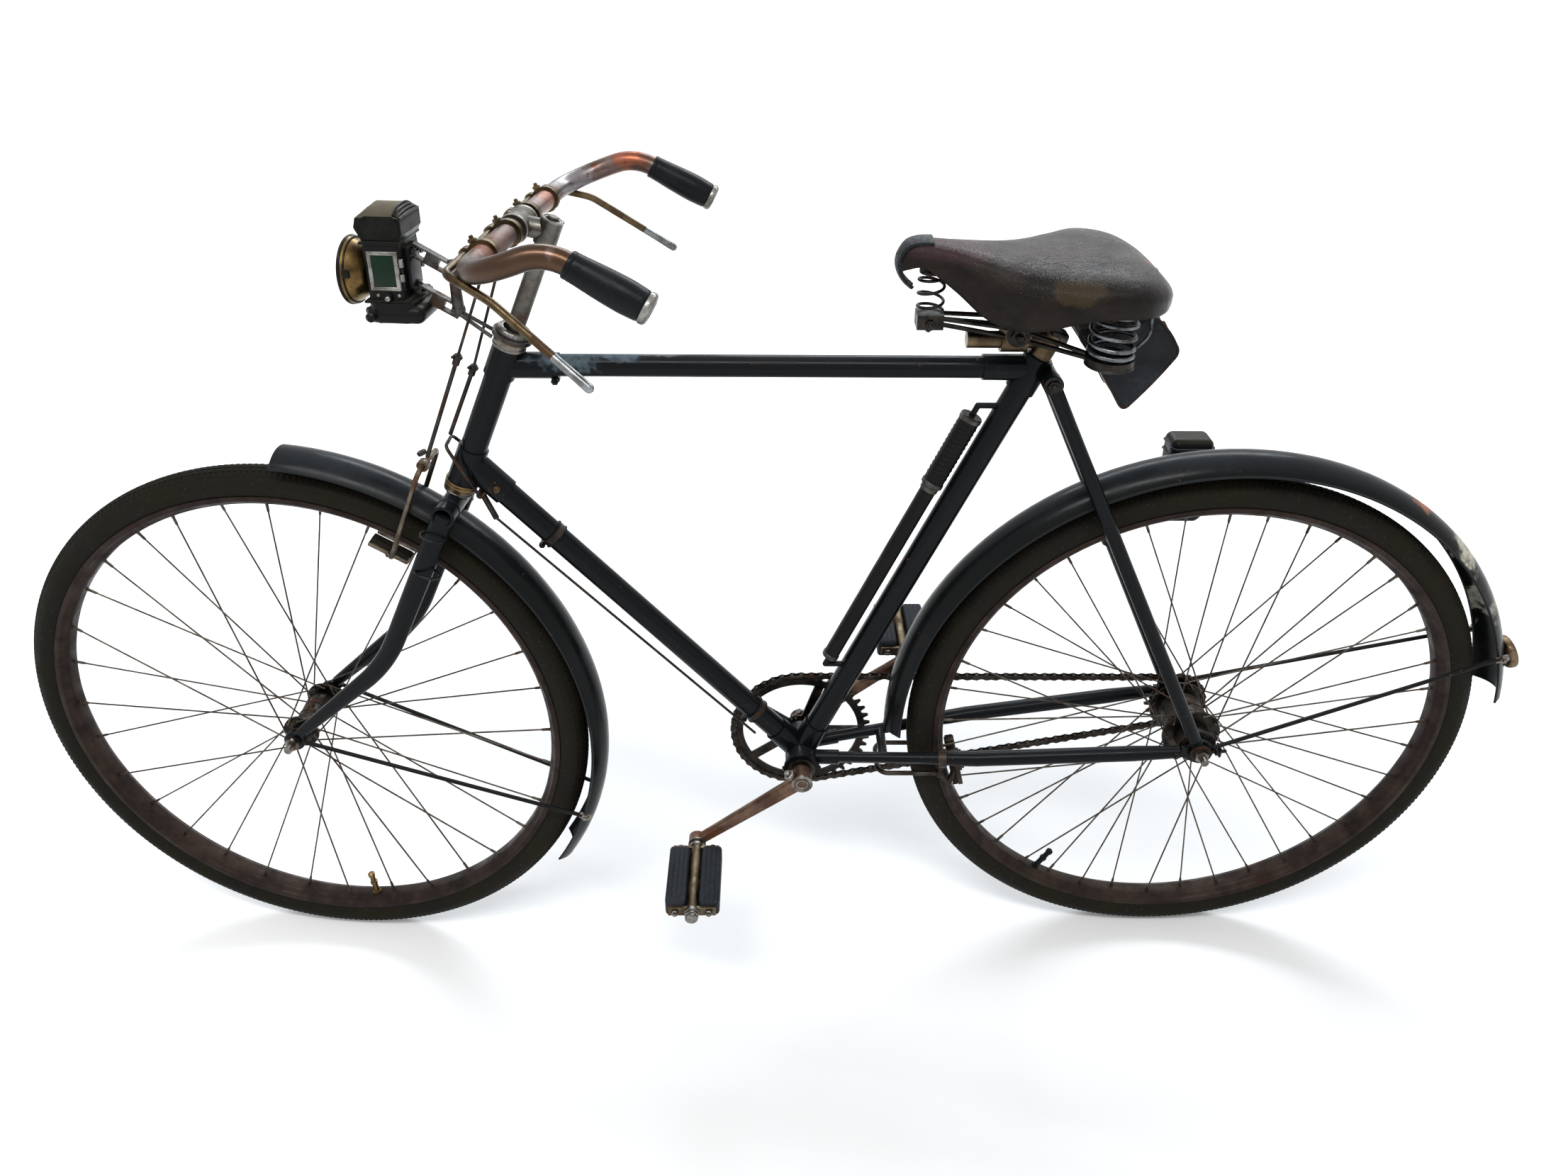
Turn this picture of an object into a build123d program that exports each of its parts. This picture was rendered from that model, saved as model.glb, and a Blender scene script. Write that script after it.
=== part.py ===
from build123d import *
import math
import os

os.makedirs("parts", exist_ok=True)

# Driving dimensions, in millimetres and degrees.
# Everything is laid out from the rear axle: x runs back, y to the rider's right, z up.
# At the end the whole bicycle is moved so that its origin is on the saddle, where a rider sits.

# Where the rider sits, from the rear axle
SEAT_POINT = (-255, 0, 622)

# Frame geometry
WHEELBASE = 1114
BRACKET_DROP = 52
TOP_TUBE_HEIGHT = 490
HEAD_ANGLE = 67.0
SEAT_ANGLE = 66.0
FORK_RAKE = 80.5
STEER_TURN = -5.1

# Frame tubes
TOP_TUBE_R = 12.3
DOWN_TUBE_R = 14
SEAT_TUBE_R = 14.3
HEAD_TUBE_R = 15
HEAD_BORE_R = 13.6
CHAIN_STAY_R = 7
SEAT_STAY_R = 8.2
SEAT_STAY_EYE_R = 11
LUG_WALL = 2.2
LUG_FIT = 0.1
SEAT_GAP = 0.3
HEAD_LUG_LENGTH = 36
SOCKET_LENGTH = 40
SEAT_LUG_RISE = 12
SEAT_LUG_DROP = 26

# Head tube and races, measured along the steering axis
HEAD_ABOVE_CROWN = 14.4
HEAD_ABOVE_TOP_TUBE = 22
DOWN_TUBE_RISE = 26.6
HEAD_DRAWN_END = 556.2
RACE_GAP = 0.3
CUP_HEIGHT = 9
CUP_R = 18
CONE_R = 17
LOCK_RING_HEIGHT = 13

# Bottom bracket
SHELL_R = 20.5
SHELL_HALF = 31
SHELL_BORE_R = 16
CUP_WALL = 8
LOCK_RING = 4.5
AXLE_R = 8
RUNNING_FIT = 0.05

# Stays: half spacings across the bicycle
CHAIN_STAY_REAR_Y = 58
CHAIN_STAY_STATIONS = (
    # share of the length, distance from the middle plane, radius
    (0, 13, CHAIN_STAY_R),
    (0.33, 33.5, 7.2),
    (0.42, 39, 9.3),
    (0.47, 42, 9.5),
    (0.88, 54.4, 9.5),
    (1, CHAIN_STAY_REAR_Y, 7.5),
)
SEAT_STAY_TOP_Y = 30
SEAT_STAY_LOW_Y = 63.4
BRIDGE_X = -386
BRIDGE_R = 6
DROPOUT_THICK = 5
DROPOUT_R = 17

# Wheels
RIM_INNER_R = 309.5
RIM_SHOULDER_R = RIM_INNER_R + 7
RIM_FLANGE_R = RIM_INNER_R + 13.5
TYRE_R = RIM_INNER_R + 46
TYRE_SECTION_R = 20
RIM_HALF = 16.5
RIM_WALL = 1.6
TYRE_FIT = 0.3
SPOKE_SIDE = 2.0
SPOKE_CROSS = 3
FRONT_SPOKES = 32
REAR_SPOKES = 40
SPOKE_GAP = 0.3

# Hubs and axles
WHEEL_AXLE_R = 4.8
FRONT_HUB_R = 14
FRONT_FLANGE_R = 22
FRONT_FLANGE_Y = 33
FRONT_HUB_HALF = 44
REAR_HUB_R = 27
REAR_FLANGE_R = 36
REAR_FLANGE_Y = 27
REAR_HUB_HALF = 52
FLANGE_THICK = 3
NUT_R = 9
NUT_HEIGHT = 7
AXLE_STUB = 10
LOCKNUT_R = 10

# Chain drive
CHAIN_PITCH = 12.7
RING_TEETH = 44
SPROCKET_TEETH = 18
CHAIN_LINE = 38
RING_THICK = 2.9
CHAIN_HALF_WIDTH = 3.4
CHAIN_PLATE_HALF = 4.2
CHAIN_WAIST_HALF = 3.2
TOOTH_HEIGHT = 3.4
TOOTH_ROOM = 0.6
CHAIN_SLOT = 3.5

# Cranks and pedals
CRANK_LENGTH = 170
CRANK_ANGLE = 38
CRANK_INNER_Y = 49
CRANK_THICK = 12
CRANK_BOSS_START = 41
CRANK_BOSS_R = 12.5
CRANK_ARM_R = 10
CRANK_ARM_END_R = 7
CRANK_EYE_R = 11
PEDAL_AXLE_R = 4.5
PEDAL_LENGTH = 98
PEDAL_START = 8
PEDAL_BLOCK_OFFSET = 20.5
PEDAL_BLOCK_W = 25
PEDAL_BLOCK_H = 24
PEDAL_BLOCK_ROUND = 4

# Mudguards
GUARD_EDGE_R = TYRE_R + 15
GUARD_CREST_R = TYRE_R + 32.5
REAR_GUARD_SHIFT = 3
GUARD_HALF = 28
GUARD_WALL = 1.5
FRONT_GUARD_EDGE_R = TYRE_R + 11.5
FRONT_GUARD_ROOM = 25.7
REAR_GUARD_ARC = (8, 181)
FRONT_GUARD_ARC = (-32, 86)
STAY_WIRE_R = 2.5

# Fork
CROWN_R = 13
CROWN_BORE_R = 10
CROWN_HALF = 46
STEERER_R = 12.7
BLADE_TOP_Y = 38.5
BLADE_LOW_Y = 51
BLADE_SECTIONS = (
    # share of the blade's length, half size along the bicycle, half size across
    (0, 13, 9),
    (0.45, 12, 9),
    (0.6, 11.2, 8.6),
    (0.7, 10.4, 8.2),
    (0.8, 9.4, 7.8),
    (0.9, 8.2, 7.4),
    (1, 7, 7),
)
BLADE_CORNER = (-982, 122)
BLADE_END = (-1103, 14)
BLADE_BEND_R = 190

# Handlebar and stem
STEM_R = 9.6
STEM_RISE = 149
STEM_SOCKET_R = 12
BAR_R = 11
BAR_LUG_HALF = 19
BAR_CLAMP = (-786.5, 0, 644)
BAR_FRONT = (-786.5, 206, 644)
BAR_CREST = (-704.5, 196.5, 674)
BAR_END = (-617, 202.3, 628)
BAR_FRONT_BEND = 64
BAR_CREST_BEND = 50
GRIP_LENGTH = 78
GRIP_FIT = 0.3
GRIP_ROUND = (
    # share of the grip's length, its radius there
    (0, 13.2),
    (0.25, 15.6),
    (0.7, 15.6),
    (1, 14),
)

# Saddle
SADDLE_WALL = 5
SEAT_POST_R = 12.6
SEAT_PIN_R = 9.3
SEAT_POST_RISE = 40
SEAT_PIN_DROP = 8
SEAT_PIN_FRONT = 92


def steer_point(height):
    """A point on the steering axis at a level z."""
    foot = -WHEELBASE + FORK_RAKE / math.sin(math.radians(HEAD_ANGLE))
    return (foot + height / math.tan(math.radians(HEAD_ANGLE)), 0, height)


# Heights that follow from the tyre and the top tube
CHAIN_STAY_REACH = TYRE_R + 134.5
HUB_DROP = FORK_RAKE / math.tan(math.radians(HEAD_ANGLE))
FRONT_GUARD_CREST_R = TYRE_R + FRONT_GUARD_ROOM
CROWN_REACH = FRONT_GUARD_CREST_R + CROWN_R + SEAT_GAP
CROWN_HEIGHT = math.sqrt(CROWN_REACH ** 2 - FORK_RAKE ** 2) - HUB_DROP
HEAD_TUBE_START = CROWN_HEIGHT + CROWN_R + HEAD_ABOVE_CROWN
HEAD_TUBE_END = (TOP_TUBE_HEIGHT + HEAD_ABOVE_TOP_TUBE) / math.sin(math.radians(HEAD_ANGLE))
DOWN_TUBE_HEIGHT = (HEAD_TUBE_START + DOWN_TUBE_RISE) * math.sin(math.radians(HEAD_ANGLE))
STEM_TOP = HEAD_TUBE_END + STEM_RISE
SEAT_POST_TOP = TOP_TUBE_HEIGHT + SEAT_POST_RISE
STEER_FOOT = steer_point(0)
STEER_DIR = (math.cos(math.radians(HEAD_ANGLE)), 0, math.sin(math.radians(HEAD_ANGLE)))
STEER_AXIS = Axis(STEER_FOOT, STEER_DIR)
BRACKET = (-CHAIN_STAY_REACH, 0, -BRACKET_DROP)
FRONT_HUB = (-WHEELBASE, 0, 0)
SEAT_DIR = (math.cos(math.radians(SEAT_ANGLE)), 0, math.sin(math.radians(SEAT_ANGLE)))


def along(start, direction, distance):
    """The point a distance along a direction."""
    return tuple(a + distance * d for a, d in zip(start, direction))


def on_steering(distance):
    """A point on the steering axis, by its distance from axle level."""
    return along(STEER_FOOT, STEER_DIR, distance)


HEAD_MOVE = tuple(a - b for a, b in zip(on_steering(HEAD_TUBE_END), on_steering(HEAD_DRAWN_END)))


def moved_up(point):
    """A point of the bars, shifted with the top of the head tube."""
    return tuple(a + b for a, b in zip(point, HEAD_MOVE))


def on_seat_tube(height):
    """A point on the seat tube's axis at a level z."""
    return along(BRACKET, SEAT_DIR, (height + BRACKET_DROP) / SEAT_DIR[2])


SEAT_STAY_TOP = (on_seat_tube(TOP_TUBE_HEIGHT - 6)[0] + 18.5, TOP_TUBE_HEIGHT - 6)


def rod(start, end, radius, end_radius=None):
    """A round bar or cone between two points."""
    a, b = Vector(*start), Vector(*end)
    plane = Plane(origin=a, z_dir=b - a)
    if end_radius is None or end_radius == radius:
        return Solid.make_cylinder(radius, (b - a).length, plane)
    return Solid.make_cone(radius, end_radius, (b - a).length, plane)


def ring(start, end, radius, bore):
    """A round sleeve between two points."""
    return rod(start, end, radius) - rod(start, end, bore)


def bent_rod(points, radii, radius):
    """A round bar that follows straight runs joined by tangent arcs."""
    path = FilletPolyline(*points, radius=radii)
    return sweep(Plane(origin=path @ 0, z_dir=path % 0) * Circle(radius), path=path)


def mirrored(part):
    """The same part on the other side of the bicycle."""
    return part.mirror(Plane.XZ)


def both_sides(part):
    """A part and its mirror image as one shape."""
    return Compound([part, mirrored(part)])


def ngon(sides, radius, thick, centre, axis=(0, 1, 0)):
    """A flat-sided nut centred on a point."""
    start = along(centre, axis, -thick / 2)
    plane = Plane(origin=start, z_dir=axis)
    return extrude(plane * RegularPolygon(radius, sides), thick)


def pitch_radius(teeth):
    return CHAIN_PITCH / (2 * math.sin(math.pi / teeth))


# Frame

HEAD_JOINTS = (
    # level of the joint on the steering axis, far end of the tube, tube radius
    (TOP_TUBE_HEIGHT, on_seat_tube(TOP_TUBE_HEIGHT), TOP_TUBE_R),
    (DOWN_TUBE_HEIGHT, BRACKET, DOWN_TUBE_R),
)


def head_tube():
    lugs = []
    spans = ((HEAD_TUBE_END - HEAD_LUG_LENGTH, HEAD_TUBE_END),
             (HEAD_TUBE_START, HEAD_TUBE_START + HEAD_LUG_LENGTH + 8))
    for (height, far, radius), (low, high) in zip(HEAD_JOINTS, spans):
        start = steer_point(height)
        way = tuple((Vector(*far) - Vector(*start)).normalized())
        collar = rod(on_steering(low), on_steering(high), HEAD_TUBE_R + LUG_WALL)
        reach = HEAD_TUBE_R + SOCKET_LENGTH
        socket = rod(start, along(start, way, reach), radius + LUG_WALL)
        bore = rod(start, along(start, way, reach + 5), radius + LUG_FIT)
        lugs.append(collar + socket - bore)
    tube = rod(on_steering(HEAD_TUBE_START), on_steering(HEAD_TUBE_END), HEAD_TUBE_R)
    bore = rod(on_steering(HEAD_TUBE_START - 60), on_steering(HEAD_TUBE_END + 60), HEAD_BORE_R)
    return tube + lugs[0] + lugs[1] - bore


def main_tube(index):
    height, far, radius = HEAD_JOINTS[index]
    tube = rod(steer_point(height), far, radius)
    tube -= rod(on_steering(0), on_steering(HEAD_TUBE_END + 100), HEAD_TUBE_R + LUG_FIT)
    if index == 0:
        return tube - rod(BRACKET, on_seat_tube(TOP_TUBE_HEIGHT + 60), SEAT_TUBE_R + LUG_FIT)
    tube -= rod(BRACKET, on_seat_tube(TOP_TUBE_HEIGHT), SEAT_TUBE_R + LUG_FIT)
    return tube - shell_cut()


def shell_cut():
    """The round space that the bottom bracket's shell takes."""
    x, y, z = BRACKET
    return rod((x, -SHELL_HALF - 20, z), (x, SHELL_HALF + 20, z), SHELL_R + LUG_FIT)


def seat_tube():
    top = on_seat_tube(TOP_TUBE_HEIGHT + SEAT_LUG_RISE)
    tube = rod(BRACKET, top, SEAT_TUBE_R) - shell_cut()
    joint = on_seat_tube(TOP_TUBE_HEIGHT)
    reach = SEAT_TUBE_R + SOCKET_LENGTH
    socket = rod(joint, along(joint, (-1, 0, 0), reach), TOP_TUBE_R + LUG_WALL)
    collar = rod(on_seat_tube(TOP_TUBE_HEIGHT - SEAT_LUG_DROP), top, SEAT_TUBE_R + LUG_WALL)
    bore = rod(joint, along(joint, (-1, 0, 0), reach + 5), TOP_TUBE_R + LUG_FIT)
    lug = collar + socket - bore
    x, z = SEAT_STAY_TOP
    inner = SEAT_STAY_TOP_Y - 8
    ears = rod((x, -inner, z), (x, inner, z), SEAT_STAY_EYE_R - 1)
    tube = tube + lug + ears
    return tube - rod(on_seat_tube(TOP_TUBE_HEIGHT - 80), along(top, SEAT_DIR, 5), SEAT_POST_R + RUNNING_FIT)


def bottom_bracket():
    x, y, z = BRACKET
    shell = rod((x, -SHELL_HALF, z), (x, SHELL_HALF, z), SHELL_R)
    shell += rod((x, -SHELL_HALF - LOCK_RING, z), (x, -SHELL_HALF, z), SHELL_R + 2)
    sockets = None
    bores = None
    ways = (
        # far end of the tube that the socket holds, its radius
        (on_seat_tube(TOP_TUBE_HEIGHT), BRACKET, SEAT_TUBE_R),
        (steer_point(DOWN_TUBE_HEIGHT), BRACKET, DOWN_TUBE_R),
        (stay_station(1, 1), stay_station(0, 1), CHAIN_STAY_R),
        (stay_station(1, -1), stay_station(0, -1), CHAIN_STAY_R),
    )
    for far, start, radius in ways:
        way = tuple((Vector(*far) - Vector(*start)).normalized())
        reach = SHELL_R + SOCKET_LENGTH * 0.7
        socket = rod(start, along(start, way, reach), radius + LUG_WALL)
        bore = rod(start, along(start, way, reach + 5), radius + LUG_FIT)
        sockets = socket if sockets is None else sockets + socket
        bores = bore if bores is None else bores + bore
    hollow = rod((x, -SHELL_HALF + CUP_WALL, z), (x, SHELL_HALF - CUP_WALL, z), SHELL_BORE_R)
    axle = rod((x, -SHELL_HALF - 5, z), (x, SHELL_HALF + 5, z), AXLE_R + RUNNING_FIT)
    return sockets - bores + shell - hollow - axle


def stay_station(index, side=1):
    """A point on a chain stay's axis, by its row in the table."""
    share, across, _ = CHAIN_STAY_STATIONS[index]
    rear_x, rear_z = -DROPOUT_R - 6.8, -2
    x = BRACKET[0] + share * (rear_x - BRACKET[0])
    z = BRACKET[2] + share * (rear_z - BRACKET[2])
    return (x, side * across, z)


def on_chain_stay(x, side=1):
    """A point on a chain stay's axis, by x."""
    for index in range(len(CHAIN_STAY_STATIONS) - 1):
        a, b = stay_station(index, side), stay_station(index + 1, side)
        if x <= b[0]:
            break
    share = (x - a[0]) / (b[0] - a[0])
    return tuple(p + share * (q - p) for p, q in zip(a, b))


def chain_stays():
    """The two stays, thin at the bracket and full from the middle back, with their bridge."""
    stay = None
    for index in range(len(CHAIN_STAY_STATIONS) - 1):
        radius, after = CHAIN_STAY_STATIONS[index][2], CHAIN_STAY_STATIONS[index + 1][2]
        piece = rod(stay_station(index), stay_station(index + 1), radius, after)
        stay = piece if stay is None else stay + piece
        if index > 0:
            stay += Pos(*stay_station(index)) * Sphere(radius)
    stay -= shell_cut()
    x, half, z = on_chain_stay(BRIDGE_X)
    bridge = rod((x, -half, z), (x, half, z), BRIDGE_R)
    return stay + mirrored(stay) + bridge


def rear_dropout():
    """The right plate that holds the rear axle, at the chain stay's end."""
    y = CHAIN_STAY_REAR_Y - DROPOUT_THICK / 2
    plate = rod((0, y, 0), (0, y + DROPOUT_THICK, 0), DROPOUT_R)
    tongue = Pos(-DROPOUT_R / 2 - 3, CHAIN_STAY_REAR_Y, -1) * Box(DROPOUT_R + 5, DROPOUT_THICK, 15)
    slot = rod((0, y - 1, 0), (0, y + DROPOUT_THICK + 1, 0), WHEEL_AXLE_R + RUNNING_FIT)
    return plate + tongue - slot


STAY_LOW = (-12, SEAT_STAY_LOW_Y, 24)


def seat_stay():
    """The right seat stay, with the eye at each end."""
    x, z = SEAT_STAY_TOP
    top = (x, SEAT_STAY_TOP_Y, z)
    stay = rod(top, STAY_LOW, SEAT_STAY_R)
    eye = rod((x, SEAT_STAY_TOP_Y - 8 + LUG_FIT, z), (x, SEAT_STAY_TOP_Y + 6, z), SEAT_STAY_EYE_R)
    foot_y = CHAIN_STAY_REAR_Y + DROPOUT_THICK / 2 + LUG_FIT
    foot = rod((0, foot_y, 0), (0, foot_y + 3, 0), 12)
    web = Pos(-6, foot_y + 1.5, 13) * Rot(0, -24, 0) * Box(14, 3, 28)
    bore = rod((0, foot_y - 1, 0), (0, foot_y + 4, 0), WHEEL_AXLE_R + RUNNING_FIT)
    return stay + eye + foot + web - bore


def axle(hub_half, plate_out, centre):
    """A wheel axle with its lock nuts inside and its nuts outside the plates."""
    x, y, z = centre
    plate_in = plate_out[0]
    end = plate_out[1] + NUT_HEIGHT + AXLE_STUB
    part = rod((x, -end, z), (x, end, z), WHEEL_AXLE_R)
    for side in (-1, 1):
        locknut = rod((x, side * (hub_half + RACE_GAP), z), (x, side * (plate_in - LUG_FIT), z), LOCKNUT_R)
        nut = ngon(6, NUT_R, NUT_HEIGHT, (x, side * (plate_out[1] + LUG_FIT + NUT_HEIGHT / 2), z))
        part = part + locknut + nut
    return part


# Wheels

def rim_section():
    """The rim's hollow-backed outline, in the x-y plane."""
    w, t = RIM_HALF, RIM_WALL
    outer = [
        (RIM_FLANGE_R, w), (RIM_SHOULDER_R, w), (RIM_INNER_R + 3, w - 6), (RIM_INNER_R, w - 9),
        (RIM_INNER_R, -w + 9), (RIM_INNER_R + 3, -w + 6), (RIM_SHOULDER_R, -w), (RIM_FLANGE_R, -w),
        (RIM_FLANGE_R, -w + t), (RIM_SHOULDER_R + 1, -w + t), (RIM_INNER_R + 3 + t, -w + 7),
        (RIM_INNER_R + t, -w + 9), (RIM_INNER_R + t, w - 9), (RIM_INNER_R + 3 + t, w - 7),
        (RIM_SHOULDER_R + 1, w - t), (RIM_FLANGE_R, w - t),
    ]
    return make_face(Polyline(*outer, close=True))


def rim():
    return revolve(rim_section(), axis=Axis.Y)


def tyre():
    """A tyre of eight flats, seated in the rim."""
    centre = TYRE_R - TYRE_SECTION_R
    seat_w = RIM_HALF - RIM_WALL - TYRE_FIT
    seat_r = RIM_SHOULDER_R + 3
    points = [(seat_r, -seat_w), (seat_r, seat_w), (RIM_FLANGE_R + 0.5, seat_w)]
    for step in range(7):
        angle = math.radians(105 - 35 * step)
        points.append((centre + TYRE_SECTION_R * math.cos(angle), TYRE_SECTION_R * math.sin(angle)))
    points.append((RIM_FLANGE_R + 0.5, -seat_w))
    return revolve(make_face(Polyline(*points, close=True)), axis=Axis.Y)


def spokes(count, flange_y, flange_r):
    """Straight spokes laced in crossing pairs, each a square bar."""
    holes = count // 2
    hole_r = flange_r - 4
    rim_r = RIM_INNER_R - SPOKE_GAP
    bars = []
    for index in range(count):
        side = 1 if index % 2 else -1
        outside = 1 if (index // 2) % 2 else -1
        lean = math.sqrt(flange_r ** 2 - hole_r ** 2) * flange_y / rim_r if outside > 0 else 0
        rim_angle = 2 * math.pi * index / count
        lead = outside * SPOKE_CROSS * 2 * math.pi / holes
        hub_angle = rim_angle + lead
        lift = flange_y + outside * (FLANGE_THICK / 2 + SPOKE_GAP + SPOKE_SIDE * 0.75 + lean)
        start = Vector(hole_r * math.cos(hub_angle), side * lift, hole_r * math.sin(hub_angle))
        end = Vector(rim_r * math.cos(rim_angle), side * 3, rim_r * math.sin(rim_angle))
        plane = Plane(origin=start, z_dir=end - start)
        bars.append(extrude(plane * Rectangle(SPOKE_SIDE, SPOKE_SIDE), (end - start).length))
    return Compound(bars)


def hub(hub_r, flange_r, flange_y, half):
    body = rod((0, -half, 0), (0, half, 0), hub_r * 0.8)
    body += rod((0, -flange_y, 0), (0, flange_y, 0), hub_r)
    for side in (-1, 1):
        y = side * flange_y
        body += rod((0, y - FLANGE_THICK / 2, 0), (0, y + FLANGE_THICK / 2, 0), flange_r)
    hollow = rod((0, -half + 10, 0), (0, half - 10, 0), hub_r * 0.6)
    bore = rod((0, -half - 5, 0), (0, half + 5, 0), WHEEL_AXLE_R + RUNNING_FIT)
    return body - hollow - bore


# Chain drive

def toothed(teeth, inner):
    """A toothed ring, thin enough to run between the chain's plates."""
    pitch_r = pitch_radius(teeth)
    root = pitch_r - CHAIN_WAIST_HALF - 0.6
    tip = pitch_r + TOOTH_HEIGHT
    points = []
    for index in range(teeth):
        base = 2 * math.pi * index / teeth
        for share, radius in ((-0.28, root), (-0.08, tip), (0.08, tip), (0.28, root)):
            angle = base + share * 2 * math.pi / teeth
            points.append((radius * math.cos(angle), radius * math.sin(angle)))
    outline = make_face(Polyline(*points, close=True)) - Circle(inner)
    plane = Plane(origin=(0, CHAIN_LINE + RING_THICK / 2, 0), z_dir=(0, -1, 0))
    return extrude(plane * outline, RING_THICK)


def chainring():
    blank = toothed(RING_TEETH, pitch_radius(RING_TEETH) - 13)
    y = CHAIN_LINE - RING_THICK / 2
    band = pitch_radius(RING_TEETH) - 12
    boss = rod((0, y, 0), (0, y + RING_THICK, 0), 24)
    arms = []
    for index in range(5):
        angle = index * 72
        arms.append(Rot(0, angle, 0) * (Pos(band / 2, CHAIN_LINE, 0) * Box(band + 4, RING_THICK, 12)))
    body = blank + boss
    for arm in arms:
        body += arm
    return body - rod((0, y - 1, 0), (0, y + RING_THICK + 1, 0), AXLE_R + 6)


def chain_loop():
    """The pitch radii and centres of the chain's two wheels, its tilt and its lean."""
    big, small = pitch_radius(RING_TEETH), pitch_radius(SPROCKET_TEETH)
    c_big, c_small = Vector(BRACKET[0], BRACKET[2]), Vector(0, 0)
    line = c_small - c_big
    tilt = math.atan2(line.Y, line.X)
    lean = math.asin((big - small) / line.length)
    return big, small, c_big, c_small, tilt, lean


def chain_band(offset, waist):
    """An outline round the chain, two arcs and two scalloped straight runs, at an offset from its line."""
    big, small, c_big, c_small, tilt, lean = chain_loop()
    points = []
    up = tilt + math.pi / 2 - lean
    down = tilt - math.pi / 2 + lean
    run = math.sqrt((c_small - c_big).length ** 2 - (big - small) ** 2)
    links = round(run / CHAIN_PITCH)

    def place(centre, radius, angle):
        points.append((centre.X + radius * math.cos(angle), centre.Y + radius * math.sin(angle)))

    def scallop(centre, radius, angle, heading):
        for index in range(2 * links + 1):
            side = offset if index % 2 == 0 else waist
            along_run = index * run / (2 * links)
            x = centre.X + (radius + side) * math.cos(angle) + along_run * math.cos(heading)
            y = centre.Y + (radius + side) * math.sin(angle) + along_run * math.sin(heading)
            points.append((x, y))

    scallop(c_big, big, up, up - math.pi / 2)
    steps = 10
    for index in range(1, steps):
        place(c_small, small + offset, up + (down - up) * index / steps)
    scallop(c_small, small, down, down - math.pi / 2)
    steps = 28
    for index in range(1, steps):
        place(c_big, big + offset, down - (2 * math.pi - up + down) * index / steps)
    return make_face(Polyline(*points, close=True))


def chain():
    outline = chain_band(CHAIN_PLATE_HALF, CHAIN_WAIST_HALF) - chain_band(-CHAIN_PLATE_HALF, -CHAIN_WAIST_HALF)
    plane = Plane(origin=(0, CHAIN_LINE + CHAIN_HALF_WIDTH, 0), x_dir=(1, 0, 0), z_dir=(0, -1, 0))
    loop = extrude(plane * outline, 2 * CHAIN_HALF_WIDTH)
    for teeth, centre in ((RING_TEETH, BRACKET), (SPROCKET_TEETH, (0, 0, 0))):
        x, y, z = centre
        room = pitch_radius(teeth) + TOOTH_HEIGHT + TOOTH_ROOM
        low, high = CHAIN_LINE - CHAIN_SLOT / 2, CHAIN_LINE + CHAIN_SLOT / 2
        loop -= rod((x, low, z), (x, high, z), room)
    return loop


def crank_tip(side):
    """The middle of a crank's eye, as seen from the side."""
    x, y, z = BRACKET
    angle = math.radians(CRANK_ANGLE if side > 0 else CRANK_ANGLE + 180)
    return (x + CRANK_LENGTH * math.cos(angle), 0, z + CRANK_LENGTH * math.sin(angle))


def crank_arm(side):
    """One crank, pointing back and up on the right, forward and down on the left."""
    x, y, z = BRACKET
    tip = crank_tip(side)
    inner, outer = side * CRANK_INNER_Y, side * (CRANK_INNER_Y + CRANK_THICK)
    boss = rod((x, side * CRANK_BOSS_START, z), (x, outer, z), CRANK_BOSS_R)
    eye = rod((tip[0], inner, tip[2]), (tip[0], outer, tip[2]), CRANK_EYE_R)
    middle = (inner + outer) / 2
    arm = rod((x, middle, z), (tip[0], middle, tip[2]), CRANK_ARM_R, CRANK_ARM_END_R)
    slab = Pos(x, middle, z) * Box(3 * CRANK_LENGTH, CRANK_THICK, 3 * CRANK_LENGTH)
    arm = arm & slab
    bore = rod((x, side * (CRANK_BOSS_START - 1), z), (x, outer + side, z), AXLE_R + LUG_FIT)
    axle_hole = rod((tip[0], inner - side, tip[2]), (tip[0], outer + side, tip[2]), PEDAL_AXLE_R + LUG_FIT)
    return boss + arm + eye - bore - axle_hole


def crank_axle():
    """The axle through the bracket, with the collar that carries the chainring."""
    x, y, z = BRACKET
    end = CRANK_INNER_Y + CRANK_THICK + 2
    part = rod((x, -end, z), (x, end, z), AXLE_R)
    carrier = ring((x, CHAIN_LINE - 4.5, z), (x, CRANK_BOSS_START - LUG_FIT, z), AXLE_R + 5.9, AXLE_R - 1)
    return part + carrier


def pedal_axle(side):
    x, y, z = crank_tip(side)
    start = side * CRANK_INNER_Y
    end = side * (CRANK_INNER_Y + CRANK_THICK + PEDAL_START + PEDAL_LENGTH)
    return rod((x, start, z), (x, end, z), PEDAL_AXLE_R)


def pedal_frame(side):
    """A pedal's barrel and end plates, bored for its axle."""
    x, y, z = crank_tip(side)
    start = side * (CRANK_INNER_Y + CRANK_THICK + PEDAL_START)
    end = start + side * PEDAL_LENGTH
    part = rod((x, start, z), (x, end + side * 5, z), 8)
    for y in (start + side * 2, end - side * 2):
        part += Pos(x, y, z) * Box(2 * PEDAL_BLOCK_OFFSET + PEDAL_BLOCK_W - 8, 4, 12)
    return part - rod((x, start - side, z), (x, end + side * 1, z), PEDAL_AXLE_R + RUNNING_FIT)


def pedal_blocks(side):
    """The two rubber blocks between a pedal's end plates."""
    x, y, z = crank_tip(side)
    middle = side * (CRANK_INNER_Y + CRANK_THICK + PEDAL_START + PEDAL_LENGTH / 2)
    length = PEDAL_LENGTH - 8 - 2 * LUG_FIT
    blocks = []
    for way in (-1, 1):
        block = Box(PEDAL_BLOCK_W, length, PEDAL_BLOCK_H)
        block = chamfer(block.edges().filter_by(Axis.Y), PEDAL_BLOCK_ROUND)
        blocks.append(Pos(x + way * PEDAL_BLOCK_OFFSET, middle, z) * block)
    return Compound(blocks)


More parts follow.
